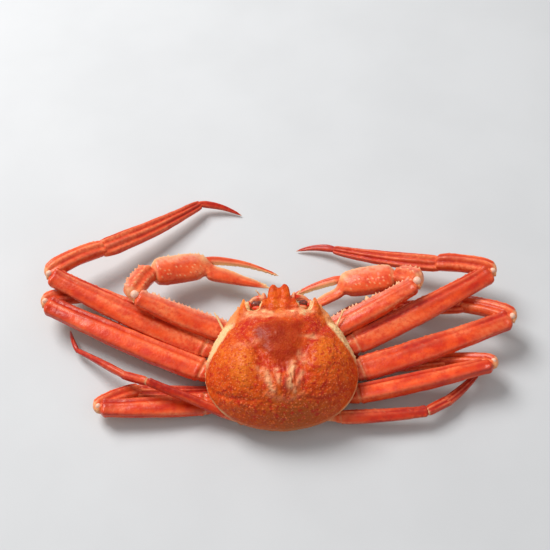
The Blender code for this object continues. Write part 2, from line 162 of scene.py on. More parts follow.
# Grooves of the back on the right side, as points (x, y), with their width and depth
GROOVES = [
    ([(34, 24), (26, 12), (19, 1), (11, -13), (0.3, -19)], 2.4, 0.9),
    ([(55, -16), (49.3, -23.6), (38.5, -31), (24, -35), (17, -35)], 1.0, 0.7),
    ([(22, 30), (14, 27), (7, 28.5), (0, 27)], 2.2, 0.5),
    ([(15.4, -14), (16.5, -24), (14, -31)], 1.6, 0.6),
]
# Pale ridges on the rear of the back: points (x, y), with their width, height and paleness
RIDGES = [
    ([(8.2, -12.5), (5.8, -18), (4.8, -28)], 2.3, 0.9, 1.0),
    ([(13.4, -19), (10.6, -25.5), (8.0, -31)], 1.7, 0.6, 0.85),
    ([(-12.6, -17), (-10, -24), (-7.4, -30)], 2.2, 0.7, 0.9),
    ([(-4.2, -17), (-3.0, -26)], 1.7, 0.5, 0.75),
    ([(-17.5, -15), (-15, -22)], 1.5, 0.4, 0.5),
    ([(-12, -32), (-4, -35), (6, -35.5), (14, -32)], 1.4, 0.4, 0.35),
]

# Patches of colour on the back: x, y, radius across, radius along, strength
WARM_PATCHES = [
    (-28, -6, 9, 9, 0.9), (-28, -19, 8, 8, 0.9), (30, 1, 9, 8, 0.95), (28, -12, 8, 7, 0.5),
    (-33, 30, 5, 12, 1.2), (32, 32, 5, 12, 1.2), (0, 32, 4, 6, 1.0), (-3, 44, 4, 5, 0.8),
    (4, 50, 3, 4, 0.7), (-4, 54, 3, 3, 0.6), (-42, 2, 5, 12, 0.5), (44, -2, 4, 14, 0.5),
    (0, -33, 12, 3, 0.5),
]
DEEP_PATCHES = [
    (-27, 23, 6, 5, 1.3), (-30, 14, 4, 5, 1.0), (27, 20, 6, 5, 1.2), (24, 12, 6, 4, 1.1),
    (22, 5, 5, 6, 0.8), (-18, 0, 4, 5, 0.9), (-10.7, -13, 3, 4, 1.0), (10.6, -15, 3, 4, 0.9),
    (15.4, -22, 3, 6, 0.8), (0, -16, 8, 5, 0.9), (1.8, -24, 1.1, 5, 1.1),
    (2.2, -32, 1.0, 5, 0.9), (12.4, -23, 1.2, 4, 0.9), (15.0, -4, 2.2, 6, 0.9),
    (-15.5, -10, 2.4, 4, 0.8), (-12, 24, 12, 3, 0.8), (20, 24, 6, 4, 0.9), (36, 18, 4, 5, 0.8),
]
# The first five pale patches lie across the forehead: partly its own pale colour, partly a painted
# highlight along its ridge
PALE_PATCHES = [
    (-19, 31.0, 8, 3.0, 1.5), (-9, 31.5, 4, 2.8, 1.2), (9, 31.5, 6, 3.4, 1.4),
    (19, 32.0, 5, 2.8, 1.2), (-1.0, 28.0, 4.0, 2.6, 1.0), (-24, 3.5, 9, 2.4, 0.5),
    (13.5, -7, 2.4, 4, 0.6), (22, 8.5, 6, 1.8, 0.6),
]
# The smooth plate in the middle of the back: x of its left and right edge at some y
PLATE_LEFT = [(-19, 0), (2, -17), (23, -22)]
PLATE_RIGHT = [(-19, 1), (-2, 13), (19, 18)]
PLATE_FRONT = 23.0
PLATE_REAR = -21.0
REAR_EDGE = -31.0

# Limbs: girth along each kind of segment, as share of its length, half width, half thickness
MERUS = [
    (0.0, 0.5, 0.66), (0.05, 0.57, 0.76), (0.08, 0.6, 0.8), (0.13, 0.84, 0.92),
    (0.22, 1.0, 1.0), (0.45, 0.98, 1.0), (0.7, 0.89, 0.95), (0.9, 0.79, 0.85),
    (0.96, 0.8, 0.84), (1.0, 0.76, 0.8),
]
CARPUS = [
    (0.0, 0.7, 0.76), (0.08, 0.86, 0.88), (0.22, 1.0, 1.04), (0.5, 1.0, 1.0), (0.78, 1.0, 1.0),
    (0.93, 0.94, 0.92), (1.0, 0.9, 0.86),
]
PROPODUS = [
    (0.0, 0.94, 0.84), (0.1, 1.08, 0.98), (0.3, 1.05, 1.0), (0.5, 0.95, 0.92),
    (0.77, 0.73, 0.76), (0.97, 0.54, 0.6), (1.0, 0.5, 0.56),
]
DACTYL = [
    (0.0, 0.7, 0.8), (0.2, 1.0, 1.0), (0.55, 0.72, 0.78), (0.85, 0.36, 0.4), (1.0, 0.12, 0.14),
]
PALM = [
    (0.0, 0.56, 0.64), (0.03, 0.62, 0.7), (0.12, 0.9, 0.92), (0.3, 1.0, 1.0), (0.6, 1.0, 1.0),
    (0.84, 0.94, 0.9), (0.97, 0.76, 0.74),
]
FIXED_FINGER = [
    (0.08, 0.56, 0.54), (0.3, 0.5, 0.46), (0.55, 0.37, 0.36), (0.8, 0.21, 0.22),
    (0.94, 0.1, 0.12), (1.0, 0.06, 0.07),
]
PROFILES = {"merus": MERUS, "carpus": CARPUS, "propodus": PROPODUS, "dactyl": DACTYL}
BOW = {"merus": -0.015, "carpus": 0.05, "propodus": -0.02, "dactyl": 0.07, "finger": 0.07}

# How far each kind of segment reaches under or over its neighbours
OVERLAP = {
    "merus": (0.0, -2.4),
    "carpus": (1.6, 3.0),
    "propodus": (3.0, 1.2),
    "dactyl": (2.0, 0.0),
}
THIN_OVERLAP = 1.4
STRAIGHT_FOLD = 90
CLAW_TILT = 18
LEG_TILT = 14

# Half width and half thickness of each limb's segments
LEG_GIRTHS = {
    1: [(9.3, 5.6), (6.8, 5.2), (6.0, 4.0), (3.0, 2.5)],
    2: [(9.6, 5.7), (6.8, 5.2), (5.8, 3.8), (3.0, 2.4)],
    3: [(8.2, 5.1), (6.2, 4.7), (5.2, 3.4), (2.7, 2.2)],
    4: [(4.8, 3.3), (3.7, 3.0), (3.3, 2.6), (1.9, 1.7)],
}
BROAD_PROPODUS = {("left", 1): (7.1, 4.2)}
CLAW_GIRTHS = [(8.5, 6.0), (8.0, 6.8), (11.0, 7.6), (3.4, 3.0)]
LEG_NAMES = ["merus", "carpus", "propodus", "dactyl"]
FIXED_FINGER_DROP = 4.8
FIXED_FINGER_GIRTH = {"left": 1.0, "right": 0.74}
LOOSE_FINGER_RISE = 4.6
LOOSE_FINGER_SEAT = 3.5
FINGER_JOINT = (5.4, 4.6)

# Seams and knobs of the limbs, for a half width of 9 mm, and the knobs' share of the thickness
SEAM_GIRTH = 9.0
SEAM_AT = {"claw": 11.0, "leg": 20.5}
KNOB_SHARE = {"claw": 0.54, "leg": 0.4}
MERUS_LOBES = (30, 135)
LOBE_END = 3.4

# Joint skins, as shares of the thinner segment: reach, half width, half thickness, folds
JOINT_REACH = 0.9
JOINT_GIRTH = (0.62, 0.64)
JOINT_FOLDS = (0.35, 0.5, 0.65)

# Teeth of the fingers: angle round the segment, first and last share of its length
BITING_EDGES = {"palm": (0, 0.56, 0.97), "finger": (180, 0.2, 0.97)}
FINGER_TOOTH_STEP = 2.4
FINGER_TOOTH_RADIUS = 1.3
FINGER_TOOTH_HEIGHT = 0.75

# Where each limb leaves the body, as x on the right side, y and z
CLAW_HIP = (30, 27.5, 16)
LEG_HIPS = {
    ("left", 1): (37, 14, 10.5),
    ("right", 1): (37, 14, 11),
    ("left", 2): (38, -5, 10.5),
    ("right", 2): (38, -5, 10.5),
    ("left", 3): (38, -20.5, 6.8),
    ("right", 3): (37, -22, 10),
    ("left", 4): (31, -36.3, 10.0),
    ("right", 4): (30, -37, 11),
}

# Each segment of a limb: length, swing forward from straight out, and climb, both in degrees
CLAWS = {
    "left": [(87, 19.2, 13.1), (30, 113, -18.5), (44, 167, -9), (52, 195, -7)],
    "right": [(86, 23, 13.4), (21, 141, -28), (43, 182, -9.3), (50, 206, -10)],
}
LOOSE_FINGERS = {"left": (62, 190, -7), "right": (56, 197, -10)}
LEGS = {
    ("left", 1): [(156, 25.3, 7.6), (48, 146, -8), (93, 145, -9), (35, 191, -13)],
    ("right", 1): [(143, 23.8, 8.3), (43, 162, -10), (85, 162, -10), (30, 171, -14)],
    ("left", 2): [(156, 24.5, 4.6), (43, 160, -17), (77, 200, -5), (28, 184, -3)],
    ("right", 2): [(144, 15.2, 6.2), (40, 150, -17), (77, 174.5, -7), (28, 200, -6)],
    ("left", 3): [(97, -2.9, 3.8), (34, 150, -14), (55, 180, -2), (26, 95, -1)],
    ("right", 3): [(122, 8.8, 6.1), (39, 163, -23), (60, 182, -3), (26, 128, -5.5)],
    ("left", 4): [(72, 20.5, 13.4), (20, 26, -19), (50, 36, -14), (22, 68, -14)],
    ("right", 4): [(74, 1.4, 0.8), (17, 27, -3), (34, 41, -6), (21, 52, -14)],
}

# Long ridges and furrows of each kind of segment: angle round it from its front edge over the
# top, width in degrees, height as a share of the ridge height
LONG_RELIEF = {
    "merus": [
        (14, 11, 1.0), (33, 8, -0.8), (50, 9, 0.9), (68, 8, -0.6), (86, 12, 0.5), (152, 15, 0.7),
    ],
    "carpus": [(20, 12, 0.8), (48, 9, -0.7), (70, 11, 0.9), (96, 9, -0.7), (122, 12, 0.7)],
    "propodus": [
        (8, 11, 0.9), (28, 8, -0.9), (48, 9, 1.1), (70, 8, -1.0), (92, 9, 1.1), (114, 8, -0.9),
        (136, 10, 0.9), (180, 12, 0.7),
    ],
    "dactyl": [(45, 14, 0.6), (90, 14, -0.7), (135, 14, 0.6), (270, 14, -0.5)],
    "palm": [(30, 14, 0.5), (150, 14, 0.4)],
    "finger": [(60, 14, 0.5), (95, 12, -0.5), (130, 14, 0.5)],
}
# Painted highlight along the limbs' ridges, as shares of their warm and white marks, and painted shade in
# their furrows, as a share of the deep mark
RIDGE_PAINTED_HIGHLIGHT = {"warm": 0.5, "white": 0.09}
FURROW_PAINTED_SHADE = 0.7
SQUARENESS = {"merus": 2.9, "carpus": 2.6, "propodus": 2.6, "dactyl": 2.2, "palm": 2.7, "finger": 2.2}
RING_STEP = {"merus": 0.85, "carpus": 0.7, "propodus": 0.8, "dactyl": 0.7, "palm": 0.65, "finger": 0.65}
COLUMNS = {"merus": 56, "carpus": 52, "propodus": 48, "dactyl": 28, "palm": 72, "finger": 36}
THIN_COLUMNS = 32
THIN_GIRTH = 5.0
END_CROWDING = 0.86
END_LENGTH = {"merus": 1.05, "dactyl": 2.0, "finger": 2.0}
USUAL_END = 0.7
USUAL_GIRTH = 6.0
GRAINS = {"claw": 0.2, "leg": 0.08}

# Rows of small spines: kind of limb and segment, angle round it, first and last share of the
# length, spacing, height as a share of the spine height, radius, paleness
SPINE_ROWS = {
    ("claw", "merus"): [
        (12, 0.14, 0.97, 3.2, 1.9, 1.4, 0.8),
        (40, 0.2, 0.97, 6.0, 0.7, 1.1, 0.5),
        (165, 0.5, 0.97, 6.5, 0.5, 1.1, 0.4),
    ],
    ("claw", "carpus"): [
        (15, 0.1, 0.97, 3.4, 1.4, 1.3, 0.8),
        (70, 0.12, 0.95, 4.2, 0.9, 1.2, 0.6),
        (120, 0.2, 0.95, 5.0, 0.6, 1.1, 0.5),
    ],
    ("claw", "palm"): [
        (12, 0.03, 0.46, 2.8, 1.3, 1.2, 0.8),
        (100, 0.05, 0.42, 4.0, 0.45, 0.9, 0.5),
        (128, 0.06, 0.4, 3.6, 0.45, 0.9, 0.5),
    ],
    ("leg", "merus"): [
        (10, 0.2, 0.98, 4.6, 0.55, 1.1, 0.35),
        (70, 0.4, 0.97, 16.0, 0.25, 0.9, 0.15),
    ],
    ("leg", "carpus"): [(16, 0.1, 0.95, 5.0, 0.4, 1.1, 0.3)],
}

# The body under the shell
BODY_HALF_WIDTH = 36.0
BODY_CENTRE_Y = -3.0
BODY_REAR = 40.0
BODY_FRONT = 36.0
BODY_TOP = 16.0
BODY_FULLNESS = 0.55
BODY_NARROWING = 0.0075
STUB_TOP = 10.5
STUB_ROOT_Z = 8.5
STUB_INSIDE = 16.0
THIN_STUB_INSIDE = 4.0
STUB_OUTSIDE = 3.0
STUB_RADIUS = 6.2
THIN_STUB_RADIUS = 3.2
THIN_LEG = 4

# Plates of the breast: where their furrows start beside the flap and where they end, as y, and
# the edge of the flap beside them, as y and x
BREAST_FURROWS = [(24, 21), (9, 4.5), (-8, -13), (-22, -29)]
FURROW_DEPTH = 1.3
FURROW_WIDTH = 1.2
FLAP_EDGE = [(-45, 18), (-38, 16.5), (-30, 12.5), (-12, 8.5), (6, 5.5), (14.5, 2.0)]
BODY_SKIN = 1.0

# Middle line of the abdomen flap, from the rear of the shell to its tip, with its half width
FLAP_THICK = 3.2
FLAP = [
    ((0, -38.0, 13.4), 10), ((0, -40.4, 13.4), 12), ((0, -42.4, 11.6), 10.5),
    ((0, -42.6, 8.0), 11.0), ((0, -41.2, 3.8), 13.5), ((0, -38.0, 1.9), 16.5),
    ((0, -30.0, 1.6), 12.5), ((0, -12.0, 1.6), 8.5), ((0, 6.0, 1.6), 5.5),
    ((0, 13.0, 1.6), 3.2), ((0, 14.5, 1.6), 2.0),
]
FLAP_SEAMS = (0.14, 0.26, 0.38, 0.52, 0.68, 0.84)

# Plates over the mouth on the right side
MOUTH_COVER_TOP = (5.6, 41.5, 28.0)
MOUTH_COVER_FOOT = (6.4, 36.5, 9.0)
MOUTH_COVER_THICK = 3.0
MOUTH_COVER = [(0, 2.4), (0.05, 3.4), (0.4, 4.6), (0.8, 4.8), (0.96, 3.6), (1, 2.6)]

# Feelers on the right side: points of the line, and radii along it
FEELERS = [
    ([(10.5, 43.0, 31.0), (11.8, 48.0, 32.5), (13.6, 52.0, 35.0), (17.5, 55.5, 39.0)],
     [1.9, 1.5, 0.8, 0.3]),
    ([(41.0, 27.0, 26.5), (44.5, 33.5, 29.5), (48.5, 40.5, 33.0)], [1.1, 0.8, 0.45]),
    ([(6.6, 45.0, 33.0), (7.4, 49.5, 34.0), (8.2, 53.5, 36.5)], [1.5, 1.1, 0.35]),
]
FEELER_RINGS = (0.25, 0.45, 0.62)

# Rings and columns of the small skins, and the squareness of a round tube
FLAP_GRID = (150, 64)
MOUTH_GRID = (44, 36)
ROD_GRID = (40, 14)
EYE_GRID = (40, 40)
JOINT_GRID = (26, 28)
ROUND = 2.0

# Camera, from the photograph's view, and lights, in metres: place and width
CAMERA_AT = (-0.01476, -0.30183, 0.6091)
CAMERA_TURN = -1.92
CAMERA_DIP = 57.0
SENSOR = 36.0
LENS = 58.9
KEY_LIGHT = ((-0.8, 0.8, 1.4), 0.85)
FILL_LIGHT = ((0.8, -0.4, 0.9), 1.0)
LIGHTS_AIM = (0, 0.05, 0)
LIGHT_COLOUR = (1.0, 0.955, 0.9)

# How far light goes into the shells, in millimetres, and how much of it
GLOW_DEPTH = 1.2
GLOW_SHARE = 0.1
GLOW_COLOUR = (1.0, 0.35, 0.2)


def chance(cells, seed):
    """A fixed random number from 0 to 1 for each row of whole numbers."""
    mixed = seed * SCATTER[3]
    for axis in range(3):
        mixed = mixed ^ cells[:, axis] * SCATTER[axis]
    for mixer, shift in MIXERS:
        mixed = (mixed ^ mixed >> shift) * mixer
    return (mixed >> 8 & 0xFFFF) / 65536.0


def lumps(points, size, seed=0):
    """Smooth random heights from -1 to 1 at the points, with lumps of about that size."""
    grid = points / size
    cell = np.floor(grid).astype(np.int64)
    part = grid - cell
    part = part * part * (3 - 2 * part)
    total = np.zeros(len(points))
    for corner in np.ndindex(2, 2, 2):
        weight = np.prod(np.where(corner, part, 1 - part), axis=1)
        total += weight * (chance(cell + corner, seed) * 2 - 1)
    return total


def grains(points, spacing, seed=0):
    """Distance to the nearest of scattered grains, as a share of their spacing, and a random
    number that each grain has for itself."""
    grid = points / spacing
    cell = np.floor(grid).astype(np.int64)
    best = np.full(len(points), 9.0)
    own = np.zeros(len(points))
    for step in np.ndindex(3, 3, 3):
        at = cell + step - 1
        place = at + np.stack([chance(at, seed + k) for k in (1, 2, 3)], axis=1)
        gap = np.linalg.norm(grid - place, axis=1)
        nearer = gap < best
        best = np.where(nearer, gap, best)
        own = np.where(nearer, chance(at, seed), own)
    return best, own


def ramp(low, high, value):
    """0 below low, 1 above high, and a smooth rise between."""
    share = np.clip((value - low) / (high - low), 0.0, 1.0)
    return share * share * (3 - 2 * share)


def bell(gap, width):
    """1 where the gap is nothing, and a smooth fall over that width."""
    return np.exp(-((gap / width) ** 2))


def curve_through(at, known, values, tight):
    """Values on a smooth curve through the known points. A tight curve never overshoots."""
    step = np.diff(known)
    slope = np.diff(values) / step
    lean = np.empty_like(values)
    lean[0], lean[-1] = slope[0], slope[-1]
    before, after = slope[:-1], slope[1:]
    if tight:
        total = np.where(before * after > 0, before + after, 1.0)
        lean[1:-1] = np.where(before * after > 0, 2 * before * after / total, 0.0)
    else:
        lean[1:-1] = (before + after) / 2
    index = np.clip(np.searchsorted(known, at) - 1, 0, len(known) - 2)
    width = step[index]
    t = (at - known[index]) / width
    start, end = values[index], values[index + 1]
    rise = (1 + 2 * t) * (1 - t) ** 2 * start + t * t * (3 - 2 * t) * end
    return rise + width * t * (1 - t) * ((1 - t) * lean[index] - t * lean[index + 1])


def patches(x, y, places):
    """Total strength of soft round patches at each point."""
    total = np.zeros(len(x))
    for place_x, place_y, across, along, strength in places:
        total += strength * np.exp(-(((x - place_x) / across) ** 2 + ((y - place_y) / along) ** 2))
    return total


def line_gap(x, y, line):
    """Distance in the plane from each point to a line of straight stretches."""
    best = np.full(len(x), 1e3)
    for (ax, ay), (bx, by) in zip(line, line[1:]):
        dx, dy = bx - ax, by - ay
        share = np.clip(((x - ax) * dx + (y - ay) * dy) / (dx * dx + dy * dy), 0, 1)
        best = np.minimum(best, np.hypot(x - ax - share * dx, y - ay - share * dy))
    return best


def mirrored(point, out):
    """A point of the right side, or its mirror image on the left."""
    return Vector((out * point[0], point[1], point[2]))


def tube_faces(rings, columns, flip):
    """Faces of a tube whose first and last point are its two poles."""
    ring, column = np.meshgrid(np.arange(rings - 1), np.arange(columns), indexing="ij")
    after = (column + 1) % columns
    low, high = 1 + ring * columns, 1 + (ring + 1) * columns
    quads = np.stack([low + column, low + after, high + after, high + column], axis=-1).reshape(-1, 4)
    first = np.arange(columns)
    second = (first + 1) % columns
    top = 1 + (rings - 1) * columns
    start = np.stack([np.zeros(columns, int), 1 + second, 1 + first], axis=1)
    end = np.stack([np.full(columns, top + columns), top + first, top + second], axis=1)
    faces = quads.tolist() + start.tolist() + end.tolist()
    return [face[::-1] for face in faces] if flip else faces


def rounded(share):
    """Profile of a round end, from 0 at its tip to 1."""
    return np.sqrt(1 - (1 - np.clip(share, 0, 1)) ** 2)


class Skin:
    """A tube's skin round a line of stations, with relief and with marks for its finish."""

    def __init__(self, stations, rings, columns, squareness=2.3, ends=(3.0, 3.0)):
        centres = np.array([tuple(station[0]) for station in stations], float)
        run = np.concatenate([[0], np.cumsum(np.linalg.norm(np.diff(centres, axis=0), axis=1))])
        turn = np.linspace(0, 1, rings)
        self.share = turn - END_CROWDING * np.sin(2 * math.pi * turn) / (2 * math.pi)
        self.length = run[-1]
        self.widest = max(station[3] for station in stations)
        at = self.share * self.length

        def along(values, tight):
            """A number of each station, at each ring."""
            return curve_through(at, run, np.array(values, float), tight)

        def directions(which):
            """A direction of each station, at each ring."""
            rows = [tuple(station[which]) for station in stations]
            found = np.stack([np.interp(at, run, [row[k] for row in rows]) for k in range(3)], axis=1)
            return found / np.linalg.norm(found, axis=1, keepdims=True)

        centre = np.stack([along(centres[:, k], False) for k in range(3)], axis=1)
        across, up = directions(1), directions(2)
        wide = along([station[3] for station in stations], True)
        thick = along([station[4] for station in stations], True)
        self.cap = rounded(at / ends[0]) * rounded((self.length - at) / ends[1])
        self.angle = np.arange(columns) * 2 * math.pi / columns
        cos, sin = np.cos(self.angle), np.sin(self.angle)
        bulge = (abs(cos) ** squareness + abs(sin) ** squareness) ** (-1 / squareness)
        side = (wide * self.cap)[:, None, None] * (cos * bulge)[None, :, None] * across[:, None]
        rise = (thick * self.cap)[:, None, None] * (sin * bulge)[None, :, None] * up[:, None]
        self.points = centre[:, None] + side + rise
        facing = across[:, None] * (cos[None, :] * thick[:, None])[..., None]
        facing = facing + up[:, None] * (sin[None, :] * wide[:, None])[..., None]
        self.facing = facing / np.linalg.norm(facing, axis=2, keepdims=True)
        self.onward = np.gradient(centre, axis=0)
        self.onward /= np.linalg.norm(self.onward, axis=1, keepdims=True) + 1e-9
        middle = rings // 2
        self.flip = np.dot(np.cross(across[middle], up[middle]), self.onward[middle]) < 0
        self.raised = np.zeros((rings, columns))
        self.pale, self.deep, self.warm, self.white, self.rear = np.zeros((len(MARKS), rings, columns))

    def turned(self, degrees):
        """Angle of each column from that angle, in degrees from -180 to 180."""
        return (np.degrees(self.angle) - degrees + 180) % 360 - 180

    def lift(self, height):
        """Raises the skin by a height at each ring and column."""
        self.raised = self.raised + height * self.cap[:, None]

    def long_relief(self, kind, height):
        """The long ridges and furrows of its kind of segment, with a painted highlight on the ridges and
        painted shade in the furrows.
        """
        fade = (ramp(0.0, 0.1, self.share) * ramp(0.0, 0.05, 1 - self.share))[:, None]
        for degrees, width, share in LONG_RELIEF[kind]:
            ridge = share * fade * bell(self.turned(degrees), width)[None, :]
            self.lift(height * ridge)
            if share > 0:
                self.warm += RIDGE_PAINTED_HIGHLIGHT["warm"] * ridge
                self.white += RIDGE_PAINTED_HIGHLIGHT["white"] * ridge
            else:
                self.deep -= FURROW_PAINTED_SHADE * ridge

    def collar(self, share, width, height, pale=0.0):
        """A ring round the skin: raised, or sunk where the height is below nothing."""
        ring = bell((self.share - share) * self.length, width)[:, None]
        self.lift(height * ring * np.ones_like(self.raised))
        self.pale += pale * ring

    def roughen(self, size, height, seed):
        """Soft lumps of that size and height."""
        flat = self.points.reshape(-1, 3)
        self.lift(height * lumps(flat, size, seed).reshape(self.raised.shape))

    def grainy(self, spacing, height, seed):
        """Scatters small round grains over the skin."""
        gap, own = grains(self.points.reshape(-1, 3), spacing, seed)
        bump = ramp(0.0, 0.45, 0.45 - gap) * (0.3 + own)
        self.lift(height * bump.reshape(self.raised.shape))

    def streaks(self, seed):
        """Long soft streaks of deep red and of warm orange along the skin."""
        run, turn = np.meshgrid(self.share * self.length / 20.0, self.angle, indexing="ij")
        places = np.stack([run, 2.2 * np.cos(turn), 2.2 * np.sin(turn)], axis=-1).reshape(-1, 3)
        streak = lumps(places, 1.0, seed).reshape(run.shape)
        self.lift(0.12 * streak)
        self.deep += 0.7 * np.clip(streak, 0, 1)
        self.warm += 0.8 * np.clip(-streak, 0, 1)

    def spine_row(self, rng, degrees, first, last, spacing, height, radius, pale):
        """A row of small spines that lean towards the far end."""
        count = max(1, int((last - first) * self.length / spacing))
        for index in range(count):
            share = first + (last - first) * (index + 0.5 + rng.uniform(-0.4, 0.4)) / count
            ring = int(np.argmin(abs(self.share - share)))
            column = int(np.argmin(abs(self.turned(degrees + rng.uniform(-8, 8)))))
            top = self.points[ring, column]
            gap = np.linalg.norm(self.points - top, axis=2)
            peak = np.clip(1 - gap / radius, 0, 1) ** 1.15 * self.cap[:, None]
            self.raised = self.raised + height * rng.uniform(0.7, 1.15) * peak
            self.points = self.points + 0.35 * height * peak[..., None] * self.onward[:, None]
            self.pale += pale * rng.uniform(0.5, 1.2) * peak
            self.warm += 0.8 * pale * np.clip(1.6 - gap / radius, 0, 1)

    def knob(self, degrees, end_mm, radius, height, pale=0.0):
        """A smooth swelling at an angle, that far from the far end."""
        ring = int(np.argmin(abs((1 - self.share) * self.length - end_mm)))
        column = int(np.argmin(abs(self.turned(degrees))))
        swell = bell(np.linalg.norm(self.points - self.points[ring, column], axis=2), radius)
        self.lift(height * swell)
        self.pale += pale * swell

    def mesh(self):
        """Points, faces and marks of the closed skin."""
        points = self.points + self.facing * self.raised[..., None]
        rings, columns = self.raised.shape

        def closed(grid, width):
            """Rows of a grid, with its first and last ring each drawn to one point."""
            rows = [grid[0].mean(axis=0).reshape(1, width)]
            rows.append(grid[1:-1].reshape(-1, width))
            rows.append(grid[-1].mean(axis=0).reshape(1, width))
            return np.concatenate(rows)

        marks = {name: closed(getattr(self, name)[..., None], 1)[:, 0] for name in MARKS}
        return closed(points, 3), tube_faces(rings - 2, columns, self.flip), marks


def add_piece(name, shape, finish, nodes=()):
    """Makes a piece in metres of points, faces and marks, with a finish, riding on the body."""
    points, faces, marks = shape
    mesh = bpy.data.meshes.new(name)
    mesh.from_pydata((points * MM).tolist(), [], faces)
    for mark, values in marks.items():
        layer = mesh.attributes.new(mark, "FLOAT", "POINT")
        layer.data.foreach_set("value", np.clip(values, 0, 1).astype(np.float32))
    mesh.shade_smooth()
    mesh.materials.append(finish_named(finish))
    piece = bpy.data.objects.new(name, mesh)
    bpy.context.scene.collection.objects.link(piece)
    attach(piece, BODY)
    if nodes:
        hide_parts(*nodes)


def joined(shapes):
    """Several closed shapes as the points, faces and marks of one mesh."""
    points, faces, marks = [], [], {}
    total = 0
    for shape_points, shape_faces, shape_marks in shapes:
        points.append(shape_points)
        faces += [[index + total for index in face] for face in shape_faces]
        for mark, values in shape_marks.items():
            marks.setdefault(mark, []).append(values)
        total += len(shape_points)
    marks = {mark: np.concatenate(rows) for mark, rows in marks.items()}
    return np.concatenate(points), faces, marks


def scratch_object(name, points, faces):
    """An object of those points and faces, in the scene."""
    mesh = bpy.data.meshes.new(name)
    mesh.from_pydata(np.asarray(points).tolist(), [], faces)
    thing = bpy.data.objects.new(name, mesh)
    bpy.context.scene.collection.objects.link(thing)
    return thing


def voxel_skin(shapes, size, hollows=()):
    """Points, facings and faces of one closed skin round overlapping closed shapes, with
    hollows cut out of the first shape."""
    first = scratch_object("first_shape", shapes[0][0], shapes[0][1])
    spent = [first]
    for points, faces in hollows:
        cutter = scratch_object("hollow", points, faces)
        cut = first.modifiers.new("hollow", "BOOLEAN")
        cut.operation = "DIFFERENCE"
        cut.solver = "EXACT"
        cut.object = cutter
        spent.append(cutter)
    depsgraph = bpy.context.evaluated_depsgraph_get()
    base = bmesh.new()
    base.from_mesh(first.evaluated_get(depsgraph).to_mesh())
    for points, faces in shapes[1:]:
        extra = [base.verts.new(point) for point in points]
        for face in faces:
            base.faces.new([extra[index] for index in face])
    whole = scratch_object("whole", [], [])
    base.to_mesh(whole.data)
    base.free()
    spent.append(whole)
    remesh = whole.modifiers.new("skin", "REMESH")
    remesh.mode = "VOXEL"
    remesh.voxel_size = size
    relax = whole.modifiers.new("relax", "SMOOTH")
    relax.factor = 0.5
    relax.iterations = SMOOTHING
    depsgraph = bpy.context.evaluated_depsgraph_get()
    done = bpy.data.meshes.new_from_object(whole.evaluated_get(depsgraph))
    points = np.empty(len(done.vertices) * 3)
    done.vertices.foreach_get("co", points)
    facings = np.empty(len(done.vertices) * 3)
    done.vertex_normals.foreach_get("vector", facings)
    faces = [list(polygon.vertices) for polygon in done.polygons]
    for thing in spent:
        bpy.data.meshes.remove(thing.data)
    bpy.data.meshes.remove(done)
    return points.reshape(-1, 3), facings.reshape(-1, 3), faces


def line_stations(line, radii, flatness=1.0):
    """Stations of a round tube along a line, flattened from above."""
    line = [Vector(point) for point in line]
    stations = []
    for index, (point, radius) in enumerate(zip(line, radii)):
        along = line[min(index + 1, len(line) - 1)] - line[max(index - 1, 0)]
        across = along.cross(Vector((0, 0, 1))).normalized()
        up = across.cross(along).normalized()
        stations.append((point, across, up, radius, radius * flatness))
    return stations


def spike_shape(line, radii, flatness=1.0, columns=20, rings=22):
    """A closed tapering spike along a line, with a round tip."""
    ends = (radii[0] * 0.6, radii[-1] * 1.4)
    return Skin(line_stations(line, radii, flatness), rings, columns, ROUND, ends).mesh()[:2]


def ball_skin(centre, radii, columns=32, rings=20):
    """A ball with a radius for each axis."""
    centre = Vector(centre)
    ends = Vector((radii[0], 0, 0))
    axes = Vector((0, 1, 0)), Vector((0, 0, 1))
    stations = [(centre + ends * side, *axes, radii[1], radii[2]) for side in (-1, 0, 1)]
    return Skin(stations, rings, columns, ROUND, (radii[0], radii[0]))


